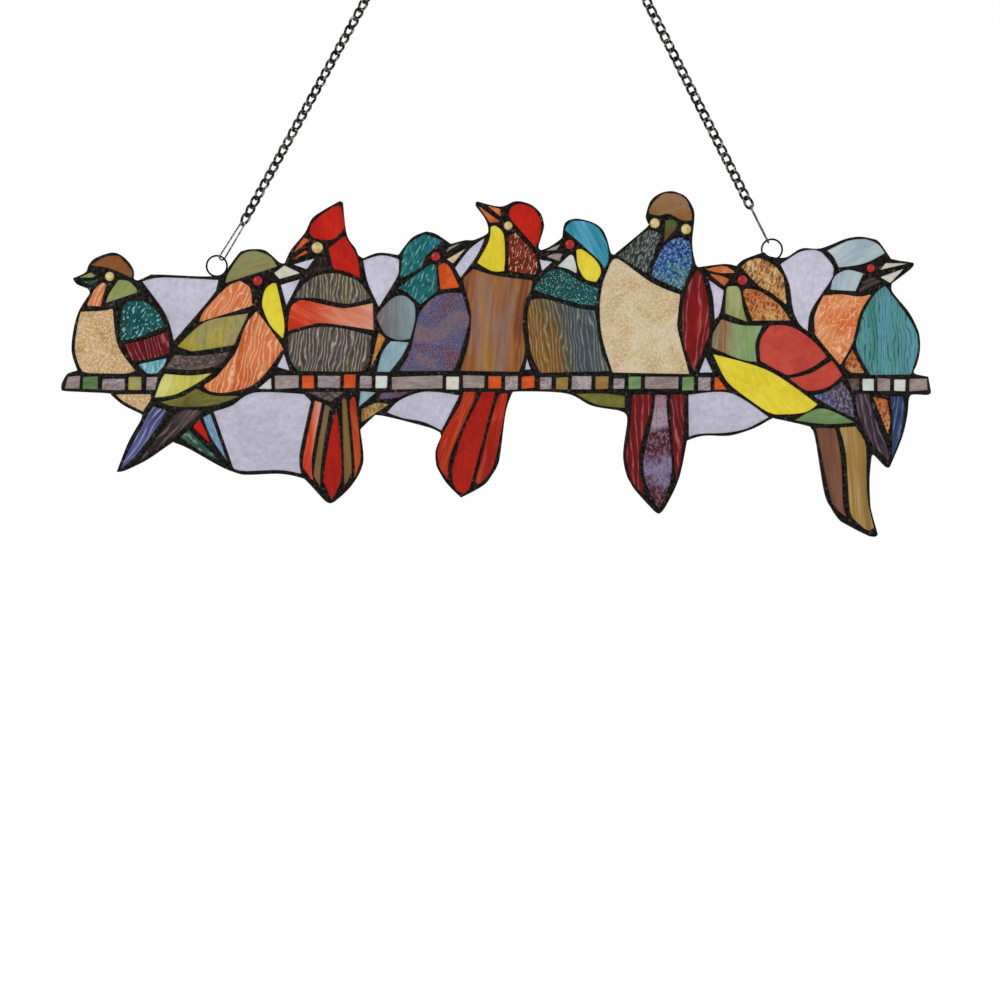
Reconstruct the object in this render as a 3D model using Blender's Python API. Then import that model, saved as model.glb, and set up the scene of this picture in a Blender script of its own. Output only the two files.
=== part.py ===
"""A leaded stained glass panel: nine birds side by side on a perch, hung by two rings from a chain.

The panel lies in the XZ plane and faces -Y. Its origin is the top of the chain, where it hangs.
Every pane is traced as it stands in the front view, on a cartoon like the one a glazier cuts from.
"""
import math

import bmesh
import bpy
from mathutils import Vector
from mathutils.geometry import delaunay_2d_cdt

# Driving dimensions, in metres
PANEL_WIDTH = 0.610
SEAM_THICKNESS = 0.0044
GLASS_THICKNESS = 0.0028
EYE_BULGE = 0.0012
RING_WIRE = 0.00135
HOOK_WIRE = 0.0010
LINK_WIRE = 0.0018
LINK_PITCH = 0.00685
FIT_GAP = 0.0003
HOOK_PLAY = 0.0004
CURVE_SAG = 0.00064

# The cartoon's grid: x to the right, y down, its own units
CARTOON_LEFT = 61.8
CARTOON_RIGHT = 930.5
CARTOON_APEX = (512.0, -266.0)
UNIT = PANEL_WIDTH / (CARTOON_RIGHT - CARTOON_LEFT)

# Sizes that follow from the driving ones
SEAM_HALF = SEAM_THICKNESS / 2
GLASS_HALF = GLASS_THICKNESS / 2

# Glass and metal: colour, roughness, metallic
MATERIALS = {
    "solder": ((0.055, 0.053, 0.052), 0.38, 0.9),
    "chain_metal": ((0.16, 0.15, 0.14), 0.35, 0.95),
    "hook_metal": ((0.72, 0.71, 0.69), 0.22, 1.0),
    "cream_glass": ((0.80, 0.72, 0.52), 0.22, 0.0),
    "teal_glass": ((0.03, 0.30, 0.30), 0.14, 0.0),
    "olive_glass": ((0.50, 0.46, 0.10), 0.14, 0.0),
    "peach_glass": ((0.85, 0.38, 0.16), 0.14, 0.0),
    "smoke_glass": ((0.32, 0.27, 0.24), 0.14, 0.0),
    "red_glass": ((0.74, 0.03, 0.03), 0.10, 0.0),
    "orange_glass": ((0.88, 0.22, 0.03), 0.12, 0.0),
    "purple_glass": ((0.20, 0.06, 0.17), 0.20, 0.0),
    "blue_glass": ((0.08, 0.25, 0.42), 0.14, 0.0),
    "slate_glass": ((0.42, 0.48, 0.56), 0.14, 0.0),
    "tan_glass": ((0.66, 0.46, 0.26), 0.20, 0.0),
    "brown_glass": ((0.36, 0.20, 0.09), 0.16, 0.0),
    "dark_red_glass": ((0.28, 0.02, 0.04), 0.12, 0.0),
    "green_glass": ((0.28, 0.36, 0.12), 0.14, 0.0),
    "gold_glass": ((0.86, 0.48, 0.08), 0.20, 0.0),
    "yellow_glass": ((0.92, 0.74, 0.12), 0.12, 0.0),
    "lavender_glass": ((0.78, 0.76, 0.86), 0.12, 0.0),
    "red_cabochon": ((0.80, 0.05, 0.03), 0.08, 0.0),
    "gold_cabochon": ((0.90, 0.50, 0.10), 0.08, 0.0),
}

# Outlines on the cartoon: "x,y" for a point on a smooth curve, "x,yc" for a corner
SILHOUETTE = """
73,279.5 75,277 85,273 86.5,269 93,260 100,256 108,253.3 115,252.8 121,255 127,260 132,266.5
134,272 133.7,278.5 140,280.3 150,275.5 165,274.3 195,276 207,276.3 222,274.5 228,267 235,257.5
241,252 248,249.7 256,249 264,250 270,253.5 279,262 283,263.2 286,262 291,250 304.8,233 306.5,228
310,221.5 315,216 328,207.5 340,201c 343,202.5c 344,207 345.3,224 347.5,236 356,249 358,254.5
363,258.3 372,254 380,253 388,253.3 397.5,255.4 402.5,249.3 409.5,240.3 414,236.5 419.5,233.5
425,232.1 430.6,232.3 441.2,236.6 449.7,243.7 459.5,241.5 467,240 473,240.2 484,235.7 488.3,232.3
487.5,225 484,217 476,206.5 475.5,202.7c 477,201.5c 488,203.6 500,206.6 508,204 513,201.9
519,201.3 525,202.4 531,204.8 536.5,208.7 540.8,213.7 543,219 544,225 543.5,230 538.6,246
543.3,249.9 560.9,238.9 562.3,231.1 565.1,223 568.7,220.5 572.9,219.1 581.4,219.2 591.2,221.9
596.2,224.4 600.4,227.6 603.9,231.8 608.2,242.4 611.2,253.5 615.2,254.1 624.5,245.4 646.5,227.5
646,218.8 646.2,213.2 649.2,203.3 652,199.5 659.8,193.5 668.9,191.3 673.9,191.7 678.8,193.1
683.7,195.6 688,199.1 693.6,209.7 694.3,221.7 691.9,238.5 694.6,259 697.3,266.4 705.4,267
724,264 736.4,265.9 743.5,259.6 762.9,252.5 767.4,255.7 775.9,257.1 787,257 798.7,249.7
804.4,248.3 820.6,248.3 836.1,242 848.8,238 855.2,237.1 860.8,236.8 872.1,238.8 877.1,240.9
881.3,244.4 890.5,257.8 899.6,260.8 910.9,261.7 913.4,265.9 901,277.5 892.6,282.8 891.2,286.4
893.3,293.4 907.4,310.3 915.1,323.7 919.3,336 919.9,349.5 917.4,362.2 913.6,372.8 925.2,375.6
928.7,377.7 930.5,386.2 929.4,394.6 914.6,394.3 908.6,398.9 907.9,410.1 906.2,420 900,443.8
890.8,465.4 887.7,467.5 884.6,466.2 877.7,458.5 872.3,455 870.6,463.1 869.4,484.6 870.6,506.9
873.5,518.5 878.1,533.1 876.2,535.8 872.3,536.5 867.7,535.4 843.1,522.7 834.6,513.5 826.5,499.2
822.3,483.1 818.5,457.7 814.2,434.6 808.5,426.5 794.4,423.8 774.6,418.7 768.3,421.2 754.9,427.9
740.8,433.1 725.3,436 705.5,435.6 690,439.5 685.7,443.7 682.6,464.4 678.1,480.5 664.6,508.4
657.9,513.6 649.4,505.7 636.8,492.2 628.7,479.6 624.1,466.2 623.1,451.8 624.7,437.5 627.2,417.3
621.1,411.3 610.5,409.6 595.7,406.9 585.1,402.9 570.3,395.1 560,392.8 530,392 514.5,391.9
510,398 505.3,415 502,440 499.5,459 495,470.5 485,484 475,491 462,496.7 455.5,492 443.5,479.5
437,467 435.5,457 436.3,446.5 441,437 438.5,431.8 427,427 405,421.7 380.5,415.5 368.3,421
360.3,429.5c 363.5,454.2 361.7,467.5 355.8,480 348.3,489.2 335.8,500.8 330.5,503.6 325,500.8
315.8,491 305,480 293.3,475.8 275,473.7 257,474.7 240,474 220,466.3 195,452 176,443.2 168,445.5
150,458 130,468.5 119,472 117.5,468 130,439 142,417.5 138,412.5 129,408.3 120,403 107,393.3 80,391.5
63.5,391 61.8,388 62,383 68,373.5 77.5,370.5 73,357 71.8,348 74,328 80,309 89.5,295.5 88,289 78,285
"""

# Panes that are solids of their own: name, glass, outline
CUT_PANES = [
    ("bird_1_breast", "cream_glass",
     "81,312c 102,311 113,309c 115,332 118,345 124,356 135.5,371c 125,373.5 97,373 83,371 76.5,356 "
     "75.3,345 78.5,322"),
    ("bird_1_wing", "teal_glass",
     "131,301 138,300.8 146,302.5 158,312.5 165,326c 150,333 130,339.5 121,340.5c 120,333 122,311 "
     "125,304.5"),
    ("bird_2_wing", "olive_glass",
     "177.5,346.5c 185,338.5 200,325.5 210,320.5 222,317.5 248.5,313.5c 246,319 240,333 234,345c "
     "213,349 200,350.7 190,350.5"),
    ("bird_2_breast", "peach_glass",
     "257,311c 268,325.5 281.5,345.5c 279.5,354 267,371.5 259,380 250,386.5 237,390.5 223,392.8 "
     "209,390.8 204,385.5c 219,374.5 235,353.5 241,340 246,325"),
    ("bird_3_shoulder", "smoke_glass",
     "294.4,298.3c 298.5,291.5 304,284.5 311,279.3 319,275.3 329,273.7 340,274.3 357,281 362.5,286.5 "
     "371,298.5c 355.5,302.8 346,303.3 336,302.8 317,298.3 305,297.8"),
    ("bird_3_band", "red_glass",
     "288.3,331c 288.3,322 291.2,306.8c 297,302.2 304.5,300.5 312,301.7 331,306.8 342,307.8 "
     "353,307.3 372.8,303.4c 374.2,320 373.6,330c 354,326.8 330,323.5 318,324 306,326"),
    ("bird_3_belly", "smoke_glass",
     "288,337c 290.5,334.3 309,328.7 320,327.2 345,329.1 371.2,336c 369.8,355 368,362 364.5,367.5 "
     "359.5,371.3c 318,371.5 298,371c 290,358"),
    ("bird_3_tail_middle", "red_glass",
     "336.8,411c 339.4,430 341.3,467 341.4,476 336.8,491 331.5,500c 324.3,482 324.2,472 327.8,447.5 "
     "334,418"),
    ("bird_4_wing", "slate_glass",
     "377.3,319 379,312.5 389,301.3 395,297 401,295.7 406.5,297 411.5,301 414.8,306.5 415.6,314 "
     "413,331.5 410.3,338.7c 400,340.3 391,338 384,332.5"),
    ("bird_4_body", "purple_glass",
     "462,293.2c 466.5,308.5 468.6,318 468,327 462,347.5 455.3,366.5 452,370.8c 430,371 402.5,371c "
     "400.3,368.5 410,352 417,321.5 421,311.5 427.5,303 434.5,297.3 442,294.2 452,292.8"),
    ("bird_5_body", "brown_glass",
     "473.5,269c 492,275 510,277.4 532.3,280.6c 530.5,291 524.6,303 522.6,328 524.7,352 519,371.8c "
     "490,371.7 460.5,370.8c 467.5,348 471,326 469.8,306 463.4,281.5"),
    ("bird_5_tail_left", "orange_glass",
     "464,392c 475.3,391.7c 472.5,403.5 461.5,428 451,453 449.6,464 448.5,479.8c 441.3,471 "
     "437.6,455 440,443 446.5,427 459.2,406"),
    ("bird_5_tail_middle", "red_glass",
     "482.3,392c 495.3,392c 489,412.5 481.8,440 473.5,471 471,483 466.5,491 462.3,494.3 455.5,488 "
     "452.3,477 454.2,459 464,430 476,406.5"),
    ("bird_5_tail_right", "orange_glass",
     "500.5,393.5c 507.7,393.5c 506.6,402 502.3,420 497.4,450 493.8,463 485.6,478 478,484.3 475.3,482c "
     "480.2,461.5 490,426.5 495,407"),
    ("bird_6_crown", "blue_glass",
     "565,229.9c 566.8,226 570.3,222.5 574.8,221 585.2,221.7 595,225.7 602.7,234.3 607.3,246 "
     "608.3,259 605.5,267.5 603.2,268.1 598.6,260.5 591,253.3 576.3,240.6"),
    ("bird_6_breast", "teal_glass",
     "550,270.5c 560.5,269.9 571,275 582,282.3 598,288c 596.6,300 596.3,306c 582,304.4 "
     "562,299 533,290c 540.5,280"),
    ("bird_6_belly", "olive_glass",
     "530.6,300.2c 541.2,298.8 551.7,300.6 575.7,308 594.8,310.8c 595.5,319.6 597.2,330.9 "
     "601.5,351.4 609.9,371.1c 597.6,371.8 551.7,372.9 540.4,372.9c 534.5,361.9 530.2,346.4 "
     "527.6,319.6 528.5,308.3"),
    ("bird_7_shoulder", "green_glass",
     "618,256c 635,239.8 648.2,229.8c 657,232.5 661.3,235.5c 655.3,247.5 653.3,256.5 646,273.3c "
     "631.5,263.7"),
    ("bird_7_breast", "blue_glass",
     "659,255.5c 663,247.5 670.3,241 679.5,237.8 689.8,242c 691.4,257 690,270.5 681.3,290.2c "
     "663.5,282.8 652,276.5c 653.5,265"),
    ("bird_7_body", "tan_glass",
     "612,261 619.5,260.5 628.5,266 650.5,282.3 664,287.8 680,295c 677.5,318 678.5,336 683.3,354.5 "
     "689,374c 665,373.2 612.6,372.5c 604.2,346 600.7,327.5 599.8,308 602,287"),
    ("bird_7_leaf", "dark_red_glass",
     "697.3,269.8 702,279 707,294.5 709.2,321 707.2,338.5 695,368 693,367 684.2,345 682.2,326 "
     "683.5,304.5 688.3,285.5"),
    ("bird_7_tail_left", "red_glass",
     "632.3,394.8c 651.3,394.6c 650,411 640.8,445 639.1,462 644,495.6c 631.3,480.3 626.5,455.5 "
     "629.9,429"),
    ("bird_7_tail_middle", "purple_glass",
     "655.5,394.8c 666.4,395.5c 666.7,412 670.7,448 671.3,466 667.2,491.5 658.6,509.4c 646.5,484 "
     "643.5,468.5 645,451 652.8,416.5"),
    ("bird_7_tail_right", "dark_red_glass",
     "670.5,394.5c 684.8,394.9c 682.4,431 682,449 676.2,480.5c 674.4,456 670.8,421"),
    ("bird_8_crown", "gold_glass",
     "741,267c 747.7,261.3 757,258.5 768,261.7 777.8,269.6 784,281.5 786.4,304.8c 770,292 759,286 "
     "747,273.2"),
    ("bird_8_breast", "green_glass",
     "721.5,319.3c 740,325.2 762.2,326c 756.3,339 755.1,347 756.5,362c 739,359 711.6,347.5c "
     "713.3,333"),
    ("bird_8_wing", "red_glass",
     "769.5,325.8c 783,325.4 797.5,330 816.5,344.4 826.6,357c 813,366.7 796,373.4 787.5,374.4 "
     "776,369.8 760.3,361c 759.5,346 761.2,338"),
    ("bird_8_wing_edge", "red_glass",
     "789,378.3c 804,375.7 819,369 831.8,360.5c 842,375.2c 831,385.3 817,390.2 803.5,389.2"),
    ("bird_8_back", "yellow_glass",
     "713,354.3c 733,361 760,368.2 776,375.4 817.3,404.3c 806,411.9 786,414.3 769,412.6c 742,394.4 "
     "726,380"),
    ("bird_8_tail_left", "brown_glass",
     "815.8,428c 835,428.4c 840.5,457.5 842.2,499 846.3,516.8c 838.5,510.8 829.8,496 822,457.5"),
    ("bird_8_tail_right", "tan_glass",
     "839.3,427.7c 855.3,426.6c 862.8,439 866.6,457 866.8,491 868,503 871,517 873.6,527.5c "
     "868.5,530.5 857.5,523 849.5,508 845.8,455"),
    ("bird_9_crown", "blue_glass",
     "827,250.8c 838.5,244.9 852.5,239.9 867,239.9 878.3,245 884.5,253.3c 870.5,260.5 860.5,264.4 "
     "838.6,267.6c 833.2,256.8"),
    ("bird_9_back", "orange_glass",
     "822.8,296c 840,294.5 858.5,296.8 871,294.6c 859.7,313 854.8,334.5 849.5,349 839.8,364.8c "
     "824,345.2 816,335 814,319 818.2,304.5"),
    ("bird_9_breast", "teal_glass",
     "884.8,285.8c 898,303.2 912.8,325.8 917.7,341 916.3,358 910.5,374.5c 885,375.4 870,374.9c "
     "858.9,352 856.8,345 862,317 874,295.3"),
    ("sky_left", "lavender_glass",
     "142.5,281.5c 160,277.8 190,279.2 218.5,280.2c 211.5,297 174.2,340.8c 167,317 161,307.5"),
    ("sky_under_left", "lavender_glass",
     "213.9,411.7c 232,405.7 254,393c 275,393 301.5,394.3 311,401.5c 302.5,437 299.5,461 "
     "301.2,473.6c 280,470 250,471 235.5,469.5 231,462.5 223.5,439"),
    ("sky_middle_left", "lavender_glass",
     "363.3,260.5c 378,256 386,255.8 398.9,259.5c 396.6,278 378.9,306.8c 370.5,289.5 365.2,273"),
    ("sky_under_middle", "lavender_glass",
     "387.2,412.5c 397.5,401.8 413,394.8 424,392 442,392.6 459.3,395.5c 448.5,416 441.5,430.3c "
     "423,421.8 403,418"),
    ("sky_under_right", "lavender_glass",
     "688.4,394.8c 730.3,393.3c 750,406.4 768.6,417.2c 747.8,427.9 727,432.6 700.6,433.7 "
     "688.8,436.4c 687.9,412"),
    ("sky_right", "lavender_glass",
     "780.4,264.4c 797,253.4 810,249.9 822,253.3 831.3,264 833,270 829.5,282.5 813,306 "
     "809,320 807.5,331c 799.5,324.3 793,309.5 789,284"),
]

# Small panes, fused with the seams as recesses whose floor is the glass face
SMALL_PANES = {
    "bird_1_cap": "91,265.5c 103,258 110,256 116,255.7 121,258 130,268 132.5,273 132,278c 115,270.5 "
                  "109,268.3 102,267.5",
    "bird_1_beak_upper": "80,277.5c 91,272.7 96,276c 92,277.5",
    "bird_1_beak_lower": "82,282c 99.5,279.5c 92.5,285.3 87,284",
    "bird_1_throat": "103,282.5c 106.5,284.5c 105.5,290 100.5,306.5c 87.3,305.5c 94.8,290",
    "bird_1_cheek": "120,280 130,282 137.5,290 137,292.7c 122,298.5 106,303c 110,293 117,282.5",
    "bird_1_wing_band": "124,344c 142,340.8 168.5,331.5c 170,346 169.5,353c 150,359 133,361c",
    "bird_1_wing_tip": "139,364.5c 154,360.5 166.5,358.5c 165,364 157,373c 147,373.3c",
    "bird_1_belly": "116,394.6c 151,394.3c 150,401 143,411.5c 134,406.5 124,401.5",
    "bird_1_tail_left": "180.5,437c 189,430.5c 204,444 219.5,460c 205,454",
    "bird_1_tail_middle": "193.5,427c 199.5,419c 207,434 210,443.5c",
    "bird_1_tail_right": "203.5,417.5c 210.5,413.8c 219,437 227,460.5c 212,438.5",
    "bird_2_cap": "225.5,283c 228.5,273.5 239,257.5 246,252.7 255,251 270,256.5 277.5,266.5c "
                  "262,270.7 250,276",
    "bird_2_neck": "240,281c 247,285 251,290.5 252,303 250,306.5c 228,313.5 199.5,322c 203,313 "
                   "216,298 228,286.5",
    "bird_2_wing_middle": "165.5,368.5c 169,362.5 175,355c 200,356 230,351.5c 225,358.5 219,364.5 "
                          "196,369.8",
    "bird_2_wing_lower": "165,374c 190,375.7 212,373.2c 196,384 175,394.5 155,397.5c 161,381",
    "bird_2_belly": "161,402.3c 183,396.5 196,388.6c 213,395.5 239.5,396c 222,403 197,407 172,406",
    "bird_2_throat": "265.5,289.5 273.5,283 278.5,289.5 279,297 284.3,322 283,338.5c 271,326 "
                     "263,308 263,298",
    "bird_2_beak": "274.3,273.3c 284.5,265.7c 300,273.2c 279.8,279c",
    "bird_2_tail_left": "153,406.5c 166.5,410.5c 158,426 135,456 120.5,469.5c 130,449",
    "bird_2_tail_right": "181,411c 203,411c 178,433 139.5,461c 153,443 167,424.5",
    "bird_3_crest": "338.5,205.5 343,216 343.7,229 335.5,237.8 329.5,240.2 316,238.6 309.6,233.5 "
                    "312.3,223.5 324,213.3",
    "bird_3_nape": "344,236.3c 352.5,248 358.5,263 359.9,278c 347,271.8 333.5,269c 328.5,248.5c "
                   "335,244",
    "bird_3_beak_upper": "303.8,237.8c 309.8,240.3c 293.2,253.2c",
    "bird_3_beak_lower": "305.5,250.5c 308.3,252.8c 292.3,260c",
    "bird_3_throat": "318,257c 326,256.5c 329.3,269.5c 320,271 308.5,274c 313.5,265",
    "bird_3_perch_side": "306,392c 345,392c 330,401.5c",
    "bird_3_tail_far_left": "315,400.7c 321.8,403c 315.3,444 311.8,460 313.2,480.5c 306.5,472 "
                            "303.3,459 307.7,437",
    "bird_3_tail_left": "325.2,404.5c 330,406.8c 322.8,451 320.6,470 320.2,485.5c 315,477 "
                        "315.4,460 322.6,423",
    "bird_3_tail_right": "342.2,399.3c 346.3,399.2c 351.4,457 350,475 344.6,485.5c 343.6,441",
    "bird_3_tail_far_right": "353.5,396.7c 355.3,399.5 358.2,427 360.6,452 358.3,468.5 354.3,478.5c "
                             "354.6,460 350,407",
    "bird_4_crown": "400.3,278.7c 401.8,259 407.5,245.7 420,236 427.5,234.5 442.5,241c 426,256 "
                    "419.5,268",
    "bird_4_cheek": "398.3,288.5c 412,278.3 425,268.3 434.5,264.5 437.3,280 437.8,290.8c "
                    "420.3,304.5c 408,293",
    "bird_4_throat": "438.3,268.5 444.5,263.3 452,271 459.2,287.3c 440.7,289.6c",
    "bird_4_beak_upper": "445.8,252.5c 449,247.8 460.3,243.3c 454.5,248",
    "bird_4_beak_lower": "446.8,259.5c 465.3,249.2c 453.3,263.4c",
    "bird_4_wing_tip": "391,341.3c 408.6,342.5c 402,356 389.5,372c 377,371.7c 382.5,352.5",
    "bird_4_wing_edge": "378.7,332.7c 385.2,338.5c 377,356 370.8,367.5c",
    "bird_4_tail_left": "360.7,391.3c 375.6,392.6c 359,406.8c",
    "bird_4_tail_middle": "361.8,409.5c 376,403.2 388.8,404.5c 372,415 361.8,422.3c",
    "bird_4_tail_right": "379.5,399.3c 383.3,393 409.5,391.9c 397,397.5",
    "bird_5_beak_upper": "487.6,206.1c 500,209 501,217c 494,212.2",
    "bird_5_beak_lower": "478.5,206.3c 489.5,213.3 500.2,222c 490,222.8c",
    "bird_5_cap": "510.5,208.3 519.8,204 529.5,206.4 535,210.6 540.8,221.7 540,235.8 535.3,247.3c "
                  "528.3,238.6 519.8,229.5 510.3,218.2",
    "bird_5_throat": "490.8,227c 495,225.6 503.2,233.7c 505,255 504,271.2c 492,271.1 477.2,263c "
                     "488.8,241.5",
    "bird_5_breast": "508.5,236c 513.5,233.4 517.5,234.6 534.6,255 537.2,267.5 536,274.8c "
                     "520.5,272.9 508.5,271c",
    "bird_5_wing_tip": "527.1,359.3c 530.4,369.4c 525,369.8c",
    "bird_6_beak_upper": "545.5,250.7c 560.3,244.5c 556,250.2c",
    "bird_6_beak_lower": "546.6,256.6 555.3,253.8 562.2,253.8 559.3,261.3c",
    "bird_6_throat": "557.6,266.5c 569.2,255.6c 573,255.8 576.5,268.5 576.2,273.4c 568,269.1",
    "bird_6_cheek": "576.3,250c 582.5,249.9 595.2,260 601,271.5 596,282c 584.5,278.5 577.5,264",
    "bird_6_wing_tip": "539.7,259.8c 552,262c 542.1,270.9c",
    "bird_6_tail": "575.5,394c 602,393.6 624.5,396c 624.5,408c 605,406.4 590,402",
    "bird_7_cap": "649.2,213.8 651.3,205.3 661.3,195.2 670.7,193.1 679.7,195.4 687.5,202.2 692,216 "
                  "690.8,220.7c 681.5,220.2 669.4,214.1 658.3,215.6",
    "bird_7_beak": "665.3,220.5c 672.3,219.5 677.3,225 671.5,234 664,242.3c",
    "bird_7_wing_tip": "705.3,357.3c 712.4,372.4c 699.2,372.6c",
    "bird_8_beak_upper": "705,269.3c 724,266.2 735.2,272.8c 720,273.1",
    "bird_8_beak_lower": "709.3,274c 720,275.8 729.2,279.6c 724,286c",
    "bird_8_collar": "708.8,280.2c 723.5,290.7c 719.8,312.5 714.8,319.7c 712.9,297",
    "bird_8_throat": "726.3,290 735,286 740,290.5 742.8,308 747,321.9c 725,313.5c",
    "bird_8_cheek": "743,293 750,289.1 761,292.5 779,305 790,320.5c 752,320.6c",
    "bird_8_wing_far": "812.5,395.7c 827,391.6 841.5,382c 850.3,395 854.3,417.5c 839,411.3",
    "bird_8_back_lower": "794.5,420.3c 821.6,408.6c 854.5,422.5c 825,424",
    "bird_9_nape": "834.2,277 847,270.2 863,273.6c 855.1,291.2c 830.2,289.8c",
    "bird_9_beak_upper": "879.8,269.9c 885.5,263.3c 906.5,263.7c",
    "bird_9_beak_lower": "880.2,277.3c 903.5,269c 890,283c",
    "bird_9_throat": "858.8,293.5c 861,286.5 869,277.6 881.5,281.4c",
    "bird_9_wing_tip": "852,350c 864.2,373c 849.5,372 844.8,364",
    "bird_9_tail_left": "855,394.3c 868.9,394c 872,410.5 887.8,450 888.5,461c 869,439.5 858.5,415",
    "bird_9_tail_middle": "873,397c 886.6,399.8c 889.8,421 887.8,434.3c",
    "bird_9_tail_right": "890.6,396.5c 902.8,396.6c 904,413 899.3,437.5 891.6,457.5c 892.6,422",
    "sky_2_to_3": "281,285c 300,279.5c 286.5,305.5c",
    "sky_at_beak": "293.8,264.6c 314.3,258.8c 306.8,269.2c",
    "sky_under_breast": "284,354c 289.3,370.5c 277.5,366.8c",
    "sky_4_to_5": "455.2,268c 469.7,249.2 484.8,238c 476.8,255.6 460.6,277.8c",
}

# The perch: a row of short tiles, each by its four corners
PERCH_TILES = """
68.3,377 80.5,375.8 79.5,388.6 65,388.4 | 83.5,377 98,376.5 98,389 83,389
103,379 125,379 125,390 102,390 | 129,377 141.5,377 141.5,390 128.5,390
147,377.3 158,377 155,390 146.5,390 | 271,378 271.6,389 258.5,388.7
275,375.7 299,375.5 298.5,387.8 275.3,389 | 302.3,375.7 313.8,375.7 314,388.3 302.3,388.5
318,376 340.3,376 340,388 318,387.5 | 344.3,374.7 355.8,374.5 355.3,387.8 343.8,388
360.3,376 371.8,376.3 371.8,388 359.5,388.2 | 375.8,376 387.5,376 386.8,388 375.6,388.3
392,377.3 442.5,375.6 442.5,388.3 392,389.5 | 446.3,376.8 459,376.8 458.7,389.5 446.3,389.5
463,375.4 484.5,376 484,387.9 463,387.9 | 488.5,376.2 501,376.4 501,388.4 488.3,388.4
505.2,376.4 518,376 517.6,389.5 505.2,390 | 521.8,377 534.3,375.7 534.3,387.7 521.5,388.7
540,377.5 551.5,377.3 551.3,389.3 540,389.5 | 556,377.6 568.3,377.2 567.5,389.7 556,389.3
572,376.2 591.5,376.2 591,389.3 571.5,389.3 | 595.5,376.5 608.6,376.5 608,388.8 595.5,389.3
613.5,378.5 624.5,378.5 624,388.7 613.2,388.9 | 628.5,376.8 641,376.8 640.6,388.8 628.5,389.1
645,376.8 678.5,377 678,388.7 645,388.7 | 682.3,377.3 693.8,376.8 693.6,390.3 682,390.5
698.2,377.5 710.4,377.3 710.2,390.3 698,390.5 | 714.5,377.5 717.3,377.3 726.5,389.5 714.3,389.7
848,379 858.5,378.8 858.7,390.3 851.7,390.5 | 862.3,379 873.4,379 873.5,390.6 862.4,390.6
877.3,378 889.8,379 889.8,391 877.3,391 | 894,379.5 905.4,379.8 904.8,391.2 893.8,390.8
909.3,379 926.5,378.8 927.2,390 909,391.5
"""

# Eyes: cartoon x, y, radius, and their glass
EYES = {
    "bird_1_eye": ((109.9, 276.6), 4.9, "gold_cabochon"),
    "bird_2_eye": ((257.8, 281.0), 5.3, "red_cabochon"),
    "bird_3_eye": ((317.4, 247.8), 6.0, "gold_cabochon"),
    "bird_4_eye": ((435.7, 256.8), 5.1, "red_cabochon"),
    "bird_5_eye": ((508.2, 226.0), 4.6, "gold_cabochon"),
    "bird_6_eye": ((569.7, 244.7), 5.3, "red_cabochon"),
    "bird_7_eye_left": ((654.7, 223.4), 5.3, "gold_cabochon"),
    "bird_7_eye_right": ((685.9, 229.4), 5.4, "gold_cabochon"),
    "bird_8_eye": ((742.4, 280.4), 5.5, "red_cabochon"),
    "bird_9_eye": ((870.5, 268.4), 4.6, "red_cabochon"),
}

# Rings on the top edge: cartoon centre, and the stretch left clear of the panel, in degrees
RING_RADIUS = 10.25
RINGS = {
    "ring_left": ((216.8, 266.0), 4, 231),
    "ring_right": ((771.9, 249.5), -30, 186),
}

# Chain: where each leg's last link hangs, and how far its clip is turned, in degrees
CHAIN_ENDS = {"left": (245.0, 219.5), "right": (748.3, 202.5)}
CLIP_TURN = {"left": 30, "right": 0}

# A link's width over its length, the wires that lie over each other in a leg, and a leg's depth
# between two links over a link's width
LINK_WIDTH_SHARE = 0.62
LEG_WIRES = 2.1
LEG_WAIST_SHARE = 0.75

# Chain and clip sizes that follow from their wires
LINK_LENGTH = LINK_PITCH + 2 * LINK_WIRE
LINK_WIDTH = LINK_LENGTH * LINK_WIDTH_SHARE
LEG_THICK = LEG_WIRES * LINK_WIRE
LEG_WAIST = LINK_WIDTH * LEG_WAIST_SHARE
CLIP_HALF_WIDTH = max(LINK_WIRE, RING_WIRE) / 2 + HOOK_PLAY + HOOK_WIRE / 2
CLIP_SPLIT = FIT_GAP + FIT_GAP

# How finely the round shapes are cut
CURVE_STEPS = 8
EYE_SIDES = 10
WIRE_SIDES = 6
LINK_SIDES = 10
CLIP_END_STEPS = 5
RING_STEP_DEGREES = 20
EYE_FLAT = 0.6
SHARP_ANGLE = math.radians(40)
TRIANGLES_INSIDE = 1
MERGE_DISTANCE = 1e-7


def on_cartoon(x, y):
    """A cartoon point as x and z in space, measured from the hanging point."""
    return Vector(((x - CARTOON_APEX[0]) * UNIT, (CARTOON_APEX[1] - y) * UNIT))


def in_space(flat, depth=0.0):
    """A flat point, x and z, as a point in space."""
    return Vector((flat.x, depth, flat.y))


def clear_scene():
    for old in list(bpy.data.objects):
        bpy.data.objects.remove(old)


def make_materials():
    made = {}
    for name, (colour, roughness, metallic) in MATERIALS.items():
        material = bpy.data.materials.new(name)
        material.use_nodes = True
        shader = material.node_tree.nodes["Principled BSDF"]
        shader.inputs["Base Color"].default_value = (*colour, 1.0)
        shader.inputs["Roughness"].default_value = roughness
        shader.inputs["Metallic"].default_value = metallic
        made[name] = material
    return made


def add_object(name, bm, material, smooth=False):
    mesh = bpy.data.meshes.new(name)
    bm.to_mesh(mesh)
    bm.free()
    mesh.materials.append(material)
    if smooth:
        mesh.shade_smooth()
        mesh.set_sharp_from_angle(angle=SHARP_ANGLE)
    part = bpy.data.objects.new(name, mesh)
    bpy.context.collection.objects.link(part)
    return part


def counter_clockwise(loop):
    """The loop turned, if need be, so that it runs counter-clockwise in the front view."""
    area = sum(a.cross(b) for a, b in zip(loop, loop[1:] + loop[:1]))
    return loop if area > 0 else loop[::-1]


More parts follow.
